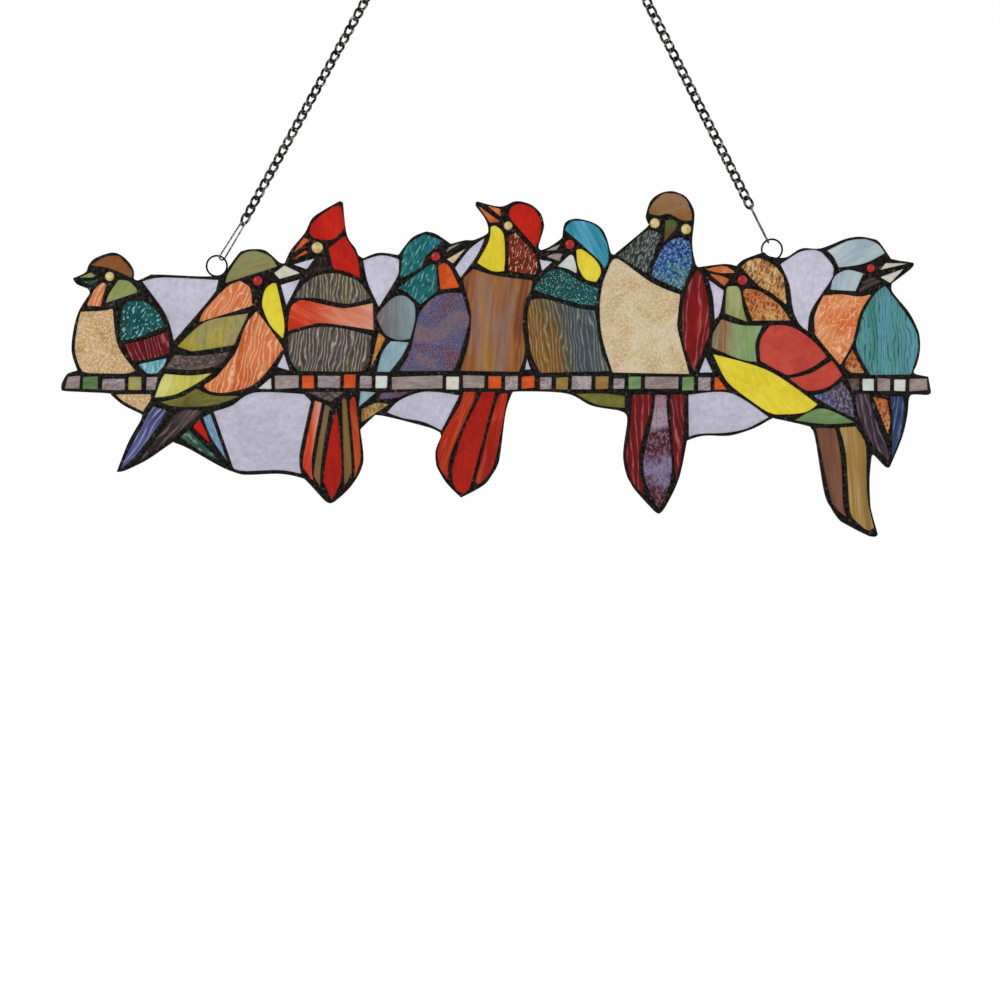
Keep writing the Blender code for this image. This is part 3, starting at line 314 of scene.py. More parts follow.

# %% [markdown]
# Every kind of glass is one row: the colours that its figure runs through, how the figure streams, the
# pattern that the rollers press into its face, and the painted light and shade of that pattern: lines
# along its ridges in a painted colour, a pale highlight in most kinds and a dark line in teal_ripple,
# and painted shade in its hollows. Where the colours come in order across a pane, its drift says which
# way (right, up) and how strictly. The last number is how clear the sheet is. Colours are given as they
# look on a screen, and lengths in metres.

# %% The kinds of glass
Relief = namedtuple("Relief", "net_step height group mark bump")
RELIEFS = {
    "smooth": Relief(0.0024, 0.00005, ROLLED, "Lines", 0.08),
    "wave": Relief(0.0018, 0.00012, ROLLED, "Lines", 0.12),
    "ripple": Relief(0.0009, 0.00030, RIPPLED, "Lines", 0.45),
    "swirl": Relief(0.0009, 0.00030, ROLLED, "Lines", 0.45),
    "grain": Relief(0.0009, 0.00018, ROLLED, "Painted_Speck_Highlights", 0.4),
    "glint": Relief(0.0009, 0.00018, ROLLED, "Glints", 0.4),
}
Glass = namedtuple("Glass", "colours scale stretch relief line_scale line_run line_colour "
                            "line_share hollow_share drift clearness", defaults=(None, 0.0))
GLASS = {
    "lavender": (((206, 203, 222), (214, 211, 230), (221, 219, 237)), 26, 1.0, "wave", 260, 2.0, (230,
        228, 240), 0.25, 0.06, None, 0.45),
    "cream": (((186, 142, 92), (204, 166, 118), (216, 184, 142)), 50, 1.0, "grain", 760, 1.2, (240, 218,
        172), 0.7, 0.18),
    "cream_pale": (((200, 172, 128), (214, 190, 150), (220, 204, 172)), 50, 1.0, "grain", 680, 1.2,
        (236, 220, 186), 0.6, 0.1),
    "teal_glint": (((0, 62, 60), (4, 80, 80), (8, 100, 104)), 60, 1.0, "glint", 620, 1.8, (150, 206,
        206), 0.8, 0.3),
    "teal_speck": (((0, 60, 58), (2, 74, 74), (6, 88, 90)), 60, 1.0, "glint", 1000, 1.4, (150, 200,
        196), 0.7, 0.25),
    "teal_fine": (((8, 84, 88), (14, 102, 104), (26, 112, 142)), 40, 1.0, "glint", 800, 4.5, (110, 184,
        180), 0.75, 0.4),
    "teal_ripple": (((62, 132, 122), (84, 148, 152), (92, 158, 178)), 46, 4.0, "ripple", 560, 3.0, (12,
        60, 60), 0.9, 0.0),
    "dark_red": (((96, 0, 4), (118, 0, 6), (136, 4, 10)), 40, 4.0, "ripple", 330, 3.0, (206, 120, 112),
        0.5, 0.35),
    "dark_red_band": (((76, 0, 8), (92, 0, 12), (106, 2, 18)), 50, 3.0, "ripple", 500, 3.0, (200, 126,
        124), 0.6, 0.3),
    "peach": (((206, 98, 44), (222, 122, 66), (226, 140, 88)), 44, 2.0, "ripple", 480, 2.0, (250, 212,
        176), 0.7, 0.2),
    "smoke": (((70, 60, 54), (90, 84, 80), (108, 98, 66)), 40, 3.0, "ripple", 560, 2.5, (190, 172, 150),
        0.85, 0.8),
    "red": (((182, 14, 0), (194, 22, 0), (204, 32, 4)), 30, 2.0, "smooth", 300, 3.0, (212, 56, 24), 0.2,
        0.1),
    "deep_red": (((156, 8, 0), (168, 14, 0), (178, 22, 2)), 30, 2.0, "smooth", 300, 3.0, (196, 56, 28),
        0.2, 0.1),
    "coral": (((188, 60, 48), (196, 68, 56), (204, 76, 62)), 30, 1.0, "smooth", 300, 3.0, (212, 100,
        84), 0.15, 0.05),
    "red_pink": (((202, 44, 4), (210, 60, 20), (220, 128, 98), (224, 168, 148)), 26, 5.0, "smooth", 200,
        8.0, (236, 176, 156), 0.2, 0.1, (1.0, 0.25, 0.8)),
    "orange_red": (((160, 18, 0), (182, 38, 2), (196, 80, 30)), 30, 5.0, "smooth", 200, 8.0, (218, 122,
        80), 0.25, 0.1),
    "orange": (((208, 74, 14), (222, 88, 22), (230, 102, 34)), 40, 1.5, "smooth", 300, 3.0, (236, 132,
        70), 0.2, 0.1),
    "beak_orange": (((196, 86, 32), (214, 112, 56), (224, 140, 92)), 60, 2.0, "smooth", 300, 3.0, (236,
        160, 120), 0.25, 0.1),
    "orange_swirl": (((222, 114, 58), (230, 142, 88), (232, 160, 116)), 50, 1.5, "swirl", 290, 2.5,
        (248, 212, 170), 0.75, 0.1),
    "purple": (((100, 52, 58), (100, 74, 96), (86, 84, 124), (122, 98, 104)), 28, 1.2, "grain", 900,
        1.2, (136, 124, 150), 0.5, 0.32),
    "maroon": (((158, 120, 134), (170, 148, 162), (72, 20, 40), (84, 38, 60), (132, 124, 160), (84, 28,
        46), (80, 12, 24)), 52, 0.5, "grain", 520, 1.4, (186, 166, 184), 0.3, 0.4, (0.0, -1.0, 0.85)),
    "blue_sky": (((20, 118, 148), (44, 142, 170), (76, 164, 188)), 44, 6.0, "smooth", 260, 12.0, (142,
        202, 216), 0.4, 0.1),
    "light_blue": (((124, 158, 170), (142, 174, 186), (158, 188, 198)), 40, 2.0, "smooth", 260, 4.0,
        (176, 202, 210), 0.2, 0.05),
    "light_blue_grain": (((74, 148, 162), (92, 164, 176), (110, 180, 190)), 40, 2.0, "grain", 460, 2.5,
        (176, 216, 222), 0.7, 0.2),
    "steel_blue": (((70, 112, 152), (92, 134, 172), (120, 158, 190)), 40, 3.0, "grain", 460, 2.5, (160,
        190, 214), 0.5, 0.2),
    "pale_blue": (((162, 182, 192), (180, 198, 206), (194, 208, 214)), 30, 3.0, "smooth", 200, 6.0,
        (208, 220, 226), 0.3, 0.05),
    "cobalt": (((86, 78, 122), (34, 66, 140), (24, 72, 144), (62, 116, 130), (92, 140, 128)), 50, 0.6,
        "grain", 700, 1.6, (140, 178, 194), 0.7, 0.7, (0.3, -0.9, 0.7)),
    "storm": (((60, 84, 160), (74, 82, 128), (80, 68, 88), (84, 70, 80)), 60, 1.0, "grain", 560, 1.6,
        (152, 150, 176), 0.6, 0.6, (0.8, 0.3, 0.6)),
    "slate": (((112, 106, 108), (118, 120, 124), (130, 146, 152), (138, 168, 178)), 22, 4.0, "smooth",
        160, 6.0, (148, 172, 178), 0.25, 0.08, (1.0, 0.1, 0.75)),
    "indigo": (((66, 68, 116), (88, 92, 148), (112, 118, 166)), 40, 4.0, "ripple", 330, 3.0, (190, 196,
        224), 0.6, 0.35),
    "umber": (((46, 32, 32), (64, 48, 46), (82, 64, 60)), 50, 3.0, "ripple", 420, 3.0, (132, 114, 110),
        0.6, 0.6),
    "umber_mauve": (((74, 60, 56), (92, 76, 70), (102, 84, 60)), 60, 2.0, "grain", 520, 1.6, (146, 130,
        128), 0.5, 0.45),
    "night": (((52, 34, 48), (70, 54, 66), (66, 64, 74)), 50, 3.0, "ripple", 420, 3.0, (150, 128, 146),
        0.6, 0.6),
    "brown_streak": (((124, 68, 40), (152, 94, 48), (146, 110, 94), (168, 118, 54)), 30, 7.0, "smooth",
        170, 12.0, (178, 130, 70), 0.35, 0.2),
    "bronze": (((140, 82, 26), (138, 86, 42), (126, 88, 66)), 50, 1.5, "smooth", 200, 4.0, (150, 98,
        48), 0.3, 0.1),
    "bronze_pale": (((134, 90, 40), (146, 102, 54), (150, 114, 80)), 50, 1.5, "smooth", 200, 4.0, (160,
        124, 86), 0.3, 0.1),
    "brown": (((106, 66, 46), (122, 78, 56), (134, 90, 70)), 36, 5.0, "smooth", 200, 10.0, (142, 100,
        80), 0.25, 0.1),
    "tan": (((148, 112, 52), (164, 128, 64), (176, 148, 92)), 40, 8.0, "smooth", 220, 14.0, (196, 170,
        116), 0.45, 0.15),
    "tan_dark": (((120, 88, 30), (130, 100, 52), (128, 104, 70)), 30, 4.0, "smooth", 200, 8.0, (146,
        116, 76), 0.25, 0.1),
    "olive": (((154, 140, 14), (170, 156, 66), (158, 146, 94), (152, 148, 98)), 34, 1.5, "smooth", 300,
        5.0, (190, 180, 118), 0.4, 0.14, (0.8, 0.35, 0.6)),
    "olive_green": (((148, 132, 90), (142, 138, 88), (124, 156, 84)), 34, 2.0, "smooth", 200, 5.0, (164,
        164, 120), 0.25, 0.08),
    "olive_dark": (((92, 84, 26), (116, 110, 44), (124, 126, 62)), 40, 2.0, "smooth", 300, 3.0, (148,
        152, 92), 0.25, 0.15),
    "moss": (((134, 140, 84), (148, 158, 94), (168, 172, 118)), 30, 2.5, "smooth", 200, 6.0, (178, 186,
        142), 0.25, 0.08),
    "bottle": (((30, 68, 54), (48, 84, 68), (76, 106, 84)), 40, 2.0, "glint", 520, 2.0, (140, 176, 154),
        0.6, 0.3),
    "green": (((126, 132, 92), (150, 96, 68), (142, 160, 114), (132, 164, 100), (146, 170, 126)), 42,
        6.0, "smooth", 200, 10.0, (166, 186, 152), 0.35, 0.1, (0.95, 0.0, 0.8)),
    "leaf_green": (((86, 118, 70), (108, 142, 88), (126, 158, 104)), 40, 3.0, "smooth", 200, 6.0, (146,
        176, 126), 0.25, 0.1),
    "stream": (((160, 96, 18), (140, 92, 22), (88, 84, 64), (68, 80, 92), (80, 92, 96), (92, 96, 66)),
        24, 5.0, "ripple", 560, 3.0, (160, 160, 140), 0.7, 0.6, (1.0, 0.15, 0.75)),
    "deep_blue": (((34, 52, 92), (50, 74, 118), (66, 104, 132)), 50, 4.0, "ripple", 420, 3.0, (130, 156,
        180), 0.5, 0.6),
    "beak_green": (((60, 92, 40), (78, 96, 44), (104, 72, 34), (116, 62, 32)), 40, 2.0, "smooth", 200,
        4.0, (120, 120, 70), 0.2, 0.1, (0.3, -1.0, 0.85)),
    "charcoal": (((36, 44, 40), (52, 58, 54), (66, 74, 70)), 60, 2.0, "grain", 760, 2.5, (150, 160,
        156), 0.65, 0.6),
    "black": (((12, 10, 12), (22, 16, 18), (34, 24, 26)), 60, 1.0, "grain", 420, 1.5, (110, 70, 66),
        0.35, 0.3),
    "rust": (((92, 18, 2), (112, 30, 4), (134, 46, 14)), 60, 1.0, "glint", 820, 3.0, (226, 176, 140),
        0.85, 0.55),
    "gold_ripple": (((170, 108, 56), (204, 152, 94), (222, 186, 134)), 90, 2.0, "swirl", 400, 2.5, (238,
        208, 150), 0.5, 0.9),
    "amber_ripple": (((196, 88, 34), (186, 100, 50), (206, 140, 84), (214, 172, 102)), 70, 1.2, "swirl",
        420, 1.6, (228, 184, 116), 0.55, 0.85, (0.2, -0.9, 0.6)),
    "amber": (((190, 112, 20), (200, 124, 34), (212, 144, 60)), 60, 1.0, "grain", 420, 2.0, (230, 180,
        100), 0.4, 0.3),
    "gold_dark": (((152, 112, 46), (172, 136, 66), (196, 166, 100)), 80, 1.0, "swirl", 330, 2.0, (212,
        190, 130), 0.5, 0.6),
    "ochre": (((146, 112, 50), (160, 126, 60), (170, 138, 74)), 40, 2.0, "smooth", 300, 3.0, (178, 150,
        96), 0.2, 0.1),
    "yellow": (((230, 208, 44), (238, 218, 56), (242, 226, 74)), 30, 2.0, "smooth", 300, 3.0, (244, 232,
        112), 0.15, 0.03),
    "pale_yellow": (((186, 174, 58), (204, 196, 84), (222, 216, 128)), 34, 4.0, "smooth", 240, 5.0,
        (234, 228, 160), 0.35, 0.08),
    "white": (((212, 208, 190), (220, 218, 204), (224, 226, 218)), 40, 1.0, "smooth", 300, 2.0, (236,
        236, 230), 0.2, 0.05),
    "mint": (((210, 216, 208), (220, 225, 218), (228, 231, 226)), 40, 1.0, "smooth", 300, 2.0, (232,
        236, 230), 0.2, 0.03),
    "pink_grey": (((142, 124, 122), (158, 140, 138), (172, 158, 156)), 70, 2.0, "wave", 420, 4.0, (190,
        176, 174), 0.35, 0.2),
    "speckled": (((132, 116, 116), (158, 142, 144), (184, 172, 172)), 150, 2.0, "wave", 520, 2.0, (206,
        196, 198), 0.5, 0.25),
}
GLASS = {kind: Glass(*row) for kind, row in GLASS.items()}


def linear(colour):
    """A colour given as it looks on a screen, 0 to 255, as the linear values that shaders use."""
    return [(part / 255 / 12.92) if part <= 10 else ((part / 255 + 0.055) / 1.055) ** 2.4
            for part in colour]


print("kinds of glass:", len(GLASS))

# %% [markdown]
# One maker turns a row of values into a material. Sheets take their figure from the UV map, where u runs
# along the streaks, so the same glass can lie at any angle.

# %% The glass material maker
HOLLOW_SHADE = 0.35


def place_group(tree, group, vector, **values):
    node = tree.nodes.new("ShaderNodeGroup")
    node.node_tree = group
    tree.links.new(vector, node.inputs["Vector"])
    for label, value in values.items():
        node.inputs[label].default_value = value
    return node


def mix_colours(tree, share, low, high, blend="MIX"):
    node = tree.nodes.new("ShaderNodeMix")
    node.data_type = "RGBA"
    node.blend_type = blend
    for socket, value in ((0, share), (6, low), (7, high)):
        if isinstance(value, bpy.types.NodeSocket):
            tree.links.new(value, node.inputs[socket])
        else:
            node.inputs[socket].default_value = value
    return node.outputs[2]


def colour_ramp(tree, value, stops):
    node = tree.nodes.new("ShaderNodeValToRGB")
    node.color_ramp.interpolation = "EASE"
    for index, (place, colour) in enumerate(stops):
        stop = node.color_ramp.elements[index] if index < 2 else node.color_ramp.elements.new(place)
        stop.position = place
        stop.color = (*linear(colour), 1.0)
    tree.links.new(value, node.inputs["Fac"])
    return node.outputs["Color"]


def bump(tree, height, strength, distance):
    node = tree.nodes.new("ShaderNodeBump")
    node.inputs["Strength"].default_value = strength
    node.inputs["Distance"].default_value = distance
    tree.links.new(height, node.inputs["Height"])
    return node.outputs["Normal"]


def new_material(name, roughness, metallic=0.0):
    material = bpy.data.materials.new(name)
    material.use_nodes = True
    shader = material.node_tree.nodes["Principled BSDF"]
    shader.inputs["Roughness"].default_value = roughness
    shader.inputs["Metallic"].default_value = metallic
    return material, material.node_tree, shader


def mix_drift(tree, figure, drift):
    """The figure carried across the pane: its colours come in order from one side to the other."""
    rightward, upward, share = drift
    pane = tree.nodes.new("ShaderNodeUVMap")
    pane.uv_map = "pane"
    reach = tree.nodes.new("ShaderNodeVectorMath")
    reach.operation = "DOT_PRODUCT"
    reach.inputs[1].default_value = (rightward, upward, 0.0)
    tree.links.new(pane.outputs["UV"], reach.inputs[0])
    carried = remap(tree, reach.outputs["Value"], min(rightward, 0.0) + min(upward, 0.0),
                    max(rightward, 0.0) + max(upward, 0.0))
    blend = tree.nodes.new("ShaderNodeMix")
    blend.inputs[0].default_value = share
    tree.links.new(figure, blend.inputs[2])
    tree.links.new(carried, blend.inputs[3])
    return blend.outputs[0]


def make_glass(kind):
    glass = GLASS[kind]
    relief = RELIEFS[glass.relief]
    material, tree, shader = new_material(kind + "_glass", 0.12)
    place = tree.nodes.new("ShaderNodeTexCoord")

    def along_sheet(run):
        slide = tree.nodes.new("ShaderNodeMapping")
        slide.inputs["Scale"].default_value = (1 / run, 1.0, 1.0)
        tree.links.new(place.outputs["UV"], slide.inputs["Vector"])
        return slide.outputs["Vector"]

    figure = place_group(tree, FIGURE, along_sheet(glass.stretch), Scale=glass.scale)
    rolled = place_group(tree, relief.group, along_sheet(glass.line_run), Scale=glass.line_scale)
    flow = figure.outputs["Figure"]
    if glass.drift:
        flow = mix_drift(tree, flow, glass.drift)
    last = len(glass.colours) - 1
    stops = [(0.12 + 0.76 * index / last, stop) for index, stop in enumerate(glass.colours)]
    dark = min(glass.colours, key=sum)
    colour = colour_ramp(tree, flow, [stops[0], stops[-1], *stops[1:-1]])
    tone = tree.nodes.new("ShaderNodeCombineColor")
    speckle = remap(tree, figure.outputs["Mottle"], 0.35, 0.65, 0.92, 1.05)
    for channel in range(3):
        tree.links.new(speckle, tone.inputs[channel])
    colour = mix_colours(tree, 1.0, colour, tone.outputs["Color"], "MULTIPLY")
    # Painted shade: the hollows of the pattern are darkened towards a deep shade of the darkest colour.
    shade = [part * HOLLOW_SHADE for part in linear(dark)]
    hollow_shading = remap(tree, rolled.outputs["Hollows"], 0.0, 1.0, 0.0, glass.hollow_share)
    colour = mix_colours(tree, hollow_shading, colour, (*shade, 1.0))
    # Painted light: the lines along the ridges take the ridge colour, a pale painted highlight in most kinds.
    line = remap(tree, rolled.outputs[relief.mark], 0.0, 1.0, 0.0, glass.line_share)
    colour = mix_colours(tree, line, colour, (*linear(glass.line_colour), 1.0))
    tree.links.new(colour, shader.inputs["Base Color"])
    shader.inputs["Transmission Weight"].default_value = glass.clearness
    shader.inputs["IOR"].default_value = 1.5
    shader.inputs["Specular IOR Level"].default_value = 0.2
    tree.links.new(bump(tree, rolled.outputs["Height"], relief.bump, 0.0004), shader.inputs["Normal"])
    return material


GLASSES = {kind: make_glass(kind) for kind in GLASS}
print("glass materials:", len(GLASSES))

# %% [markdown]
# The metal is made the same way. The patina is near black with a brown bloom, and it is bright in small
# places, partly real rubbed wear and partly painted highlight; on the chain the bright spots are painted
# highlights along the wires. The chain and the rings are a harder, shinier gunmetal.

# %% The metal materials
def make_patina(name, dark, bloom, wear_and_highlight_colour, roughness, scale, wear_and_highlight_from):
    material, tree, shader = new_material(name, 0.35, metallic=1.0)
    place = tree.nodes.new("ShaderNodeTexCoord")
    worn = place_group(tree, PATINA, place.outputs["Object"], Scale=scale)
    cloud = remap(tree, worn.outputs["Wear"], 0.4, 0.6)
    colour = mix_colours(tree, cloud, (*linear(dark), 1.0), (*linear(bloom), 1.0))
    # Partly real wear, partly painted highlight: the brightest patches of the wear are painted in a bright
    # colour.
    wear_and_highlight_mask = remap(tree, worn.outputs["Wear"], wear_and_highlight_from, wear_and_highlight_from + 0.12, 0.0, 0.8)
    colour = mix_colours(tree, wear_and_highlight_mask, colour, (*linear(wear_and_highlight_colour), 1.0))
    tree.links.new(colour, shader.inputs["Base Color"])
    low, high = roughness
    tree.links.new(remap(tree, worn.outputs["Wear"], 0.3, 0.7, high, low),
                   shader.inputs["Roughness"])
    tree.links.new(bump(tree, worn.outputs["Pits"], 0.35, 0.0002), shader.inputs["Normal"])
    return material


SOLDER = make_patina("black_solder", (20, 19, 18), (46, 43, 40), (150, 146, 140),
                     (0.3, 0.5), 420.0, 0.63)
RING_METAL = make_patina("black_ring_metal", (12, 12, 12), (26, 25, 24), (90, 88, 86),
                         (0.3, 0.5), 420.0, 0.6)
# The chain's bright colour is painted highlight along its wires.
CHAIN_METAL = make_patina("gunmetal_chain", (30, 29, 30), (58, 56, 54), (206, 204, 200),
                          (0.16, 0.3), 420.0, 0.52)
HOOK_METAL = make_patina("silver_hook_metal", (74, 72, 70), (108, 104, 100), (186, 184, 180),
                         (0.16, 0.3), 420.0, 0.5)
print("metal materials:", SOLDER.name, RING_METAL.name, CHAIN_METAL.name, HOOK_METAL.name)

# %% [markdown]
# The solder is one lattice. Its flat face is filled between the smooth outlines, then pushed in and up
# in small insets, so that each seam rises to a rounded bead. A mirror makes the rear face from the front.

# %% The soldered lattice
BEAD_EDGE = 0.0012
BEAD_STEPS = ((0.00012, 0.00170), (0.00016, 0.00203), (0.00020, 0.0022))
LUMP_SIZE = 150.0
LUMP_HEIGHT = 0.00016


def crossings(point, outline):
    inside = False
    for a, b in zip(outline, outline[1:] + outline[:1]):
        if (a.y > point.y) != (b.y > point.y):
            if point.x < a.x + (point.y - a.y) / (b.y - a.y) * (b.x - a.x):
                inside = not inside
    return inside


def fill_lattice(bm, outer, holes):
    points, edges, owner = [], [], []
    for index, outline in enumerate([outer, *holes]):
        first = len(points)
        points += outline
        owner += [index] * len(outline)
        edges += [(first + step, first + (step + 1) % len(outline))
                  for step in range(len(outline))]
    placed, _, triangles, origins, _, _ = delaunay_2d_cdt(points, edges, [], 1, 1e-7)
    verts = [bm.verts.new((point.x, 0.0, point.y)) for point in placed]
    loops = [None, *holes]
    for corners in triangles:
        owners = {owner[origins[corner][0]] for corner in corners}
        if len(owners) == 1:
            index = owners.pop()
            middle = sum((placed[corner] for corner in corners), Vector((0.0, 0.0))) / 3
            if index and crossings(middle, loops[index]):
                continue
            if not index and not crossings(middle, outer):
                continue
        bm.faces.new([verts[corner] for corner in corners])


def make_lattice():
    bm = bmesh.new()
    fill_lattice(bm, smooth_rim, smooth_panes)
    bmesh.ops.recalc_face_normals(bm, faces=bm.faces)
    if sum(face.normal.y for face in bm.faces) > 0:
        bmesh.ops.reverse_faces(bm, faces=bm.faces)
    region = list(bm.faces)
    for vert in bm.verts:
        vert.co.y = -BEAD_EDGE
    border = [edge for edge in bm.edges if edge.is_boundary]
    for inset, height in BEAD_STEPS:
        bmesh.ops.inset_region(bm, faces=region, use_boundary=True, thickness=inset)
        for vert in {vert for face in region for vert in face.verts}:
            vert.co.y = -height
    for vert in {vert for face in region for vert in face.verts}:
        lump = noise.noise(vert.co * LUMP_SIZE)
        vert.co.y += LUMP_HEIGHT * (0.5 + lump)
    walls = bmesh.ops.extrude_edge_only(bm, edges=border)["geom"]
    for part in walls:
        if isinstance(part, bmesh.types.BMVert):
            part.co.y = 0.0
    bmesh.ops.mirror(bm, geom=bm.verts[:] + bm.edges[:] + bm.faces[:], matrix=Matrix(),
                     merge_dist=1e-6, axis="Y")
    bmesh.ops.recalc_face_normals(bm, faces=bm.faces)
    return bm


lattice = add_piece("solder_lattice", make_lattice(), SOLDER, "solder")
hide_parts("solder_seams")
print("lattice faces:", len(lattice.data.polygons))

# %% [markdown]
# Each sheet of glass is filled with a fine net of points, then its front face is lifted by the pattern that
# the rollers leave: ripples along the sheet, grains, or a slow wave. Its edge goes a little way under
# the solder, as cut glass does.

# %% The glass sheets
UNDER_SOLDER = 0.0004
RIPPLE_PITCH = 0.0038
SWIRL_PITCH = 0.0042
GRAIN_PITCH = 0.0030
WAVE_PITCH = 0.011
DRIFT_LENGTH = 0.03
FINE_LENGTH = 0.012
FINE_SHARE = 0.4
ROW_SPACING = 0.866
SHIFT_U = 0.37
SHIFT_V = 0.11


def ripple(u, v, seed):
    drift = noise.noise(Vector((u / DRIFT_LENGTH, v / DRIFT_LENGTH, seed)))
    drift += FINE_SHARE * noise.noise(Vector((u / FINE_LENGTH, v / FINE_LENGTH, seed)))
    return 0.5 + 0.5 * math.sin(2 * math.pi * (v / RIPPLE_PITCH + drift))


def swirl(u, v, seed):
    drift = noise.noise(Vector((u / DRIFT_LENGTH, v / DRIFT_LENGTH, seed)))
    fold = noise.noise(Vector((u / (SWIRL_PITCH * 6), v / SWIRL_PITCH + drift, seed)))
    return 1.0 - min(1.0, abs(fold) * 2.6)


def grain(u, v, seed):
    distances, _ = noise.voronoi(Vector((u / GRAIN_PITCH, v / GRAIN_PITCH, seed)))
    return min(1.0, max(0.0, (distances[1] - distances[0]) * -1.3 + 1.0))


def wave(u, v, seed):
    fold = noise.noise(Vector((u / (WAVE_PITCH * 2.5), v / WAVE_PITCH, seed)))
    return 1.0 - min(1.0, abs(fold) * 2.2)


def smooth_sheet(u, v, seed):
    return 0.5 + 0.5 * noise.noise(Vector((u / FINE_LENGTH, v / FINE_LENGTH, seed)))


PATTERNS = {"ripple": ripple, "swirl": swirl, "grain": grain, "glint": grain, "wave": wave,
            "smooth": smooth_sheet}


def grow(outline, distance):
    """The outline of a pane, grown so that it goes under the solder."""
    grown = []
    for index, point in enumerate(outline):
        along = (outline[(index + 1) % len(outline)] - outline[index - 1]).normalized()
        grown.append(point + Vector((along.y, -along.x)) * distance)
    return grown


def middle_of(outline):
    low = Vector((min(p.x for p in outline), min(p.y for p in outline)))
    high = Vector((max(p.x for p in outline), max(p.y for p in outline)))
    return (low + high) / 2, high - low


def net_points(outline, step):
    low_x, high_x = min(p.x for p in outline), max(p.x for p in outline)
    low_y, high_y = min(p.y for p in outline), max(p.y for p in outline)
    rows = int((high_y - low_y) / (step * ROW_SPACING)) + 1
    for row in range(rows):
        y = low_y + (row + 0.5) * step * ROW_SPACING
        cuts = sorted(a.x + (y - a.y) / (b.y - a.y) * (b.x - a.x)
                      for a, b in zip(outline, outline[1:] + outline[:1])
                      if (a.y > y) != (b.y > y))
        for left, right in zip(cuts[::2], cuts[1::2]):
            first = math.ceil((left - low_x) / step + 0.5 - (row % 2) / 2)
            column = first
            while low_x + (column + (row % 2) / 2) * step < right - step * 0.5:
                yield Vector((low_x + (column + (row % 2) / 2) * step, y))
                column += 1


def make_sheet(name, outline, kind, angle, seed):
    """One closed sheet of glass with its rolled pattern on the front."""
    relief = RELIEFS[GLASS[kind].relief]
    pattern = PATTERNS[GLASS[kind].relief]
    edge = grow(outline, UNDER_SOLDER)
    points = edge + list(net_points(edge, relief.net_step))
    sides = [(index, (index + 1) % len(edge)) for index in range(len(edge))]
    placed, _, triangles, _, _, _ = delaunay_2d_cdt(points, sides, [], 1, 1e-7)
    turn = math.radians(angle)
    along = Vector((math.sin(turn), math.cos(turn)))
    bm = bmesh.new()
    front = []
    for point in placed:
        u, v = point.dot(along), point.x * along.y - point.y * along.x
        rise = pattern(u, v, seed)
        vert = bm.verts.new((point.x, -GLASS_HALF - relief.height * (rise - 0.4), point.y))
        front.append(vert)
    for corners in triangles:
        bm.faces.new([front[corner] for corner in corners])
    bm.verts.index_update()
    bmesh.ops.recalc_face_normals(bm, faces=bm.faces)
    if sum(face.normal.y for face in bm.faces) > 0:
        bmesh.ops.reverse_faces(bm, faces=bm.faces)
    border = [side for side in bm.edges if side.is_boundary]
    count = len(placed)
    wall = bmesh.ops.extrude_edge_only(bm, edges=border)["geom"]
    rear_sides = [part for part in wall if isinstance(part, bmesh.types.BMEdge)
                  and all(vert.index >= count or vert.index < 0 for vert in part.verts)]
    rear = {vert for side in rear_sides for vert in side.verts}
    for vert in rear:
        vert.co.y = GLASS_HALF
    bmesh.ops.triangle_fill(bm, use_beauty=True, edges=[side for side in bm.edges if side.is_boundary])
    bmesh.ops.recalc_face_normals(bm, faces=bm.faces)
    sheet_map = bm.loops.layers.uv.new("sheet")
    pane_map = bm.loops.layers.uv.new("pane")
    middle, size = middle_of(edge)
    for face in bm.faces:
        for corner in face.loops:
            point = corner.vert.co.xz
            u, v = point.dot(along), point.x * along.y - point.y * along.x
            corner[sheet_map].uv = (u + seed * SHIFT_U, v + seed * SHIFT_V)
            offset = point - middle
            corner[pane_map].uv = (0.5 + offset.x / size.x, 0.5 + offset.y / size.y)
        if abs(face.normal.y) < 0.5:
            for side in face.edges:
                side.smooth = False
    return add_piece(name, bm, GLASSES[kind], "glass")

# %% [markdown]
# Every pane is named with its glass and the way its streaks lean, in degrees clockwise from upright.
# The large panes match solids by name. The small ones are found by a point of the cartoon inside them.

# %% The glass of each pane
SLOTS = {
    "lavender_glass": ("lavender",),
    "cream_glass": ("cream", "cream_pale", "white", "mint", "pink_grey", "speckled"),
    "teal_glass": ("teal_glint", "teal_speck", "teal_fine", "teal_ripple"),
    "olive_glass": ("olive", "olive_green", "olive_dark", "stream"),
    "peach_glass": ("peach", "orange_swirl"),
    "smoke_glass": ("smoke", "charcoal", "black", "umber_mauve"),
    "red_glass": ("red", "deep_red", "coral", "red_pink", "orange_red"),
    "orange_glass": ("orange", "beak_orange"),
    "purple_glass": ("purple", "maroon", "indigo", "night", "storm"),
    "blue_glass": ("blue_sky", "light_blue", "light_blue_grain", "steel_blue", "pale_blue", "cobalt",
                   "deep_blue"),
    "slate_glass": ("slate",),
    "tan_glass": ("tan", "tan_dark", "bronze", "bronze_pale", "ochre"),
    "brown_glass": ("brown_streak", "brown", "umber", "rust"),
    "dark_red_glass": ("dark_red", "dark_red_band"),
    "green_glass": ("green", "leaf_green", "moss", "bottle", "beak_green"),
    "gold_glass": ("gold_ripple", "amber_ripple", "amber", "gold_dark"),
    "yellow_glass": ("yellow", "pale_yellow"),
}
SLOT_OF = {kind: slot for slot, kinds in SLOTS.items() for kind in kinds}

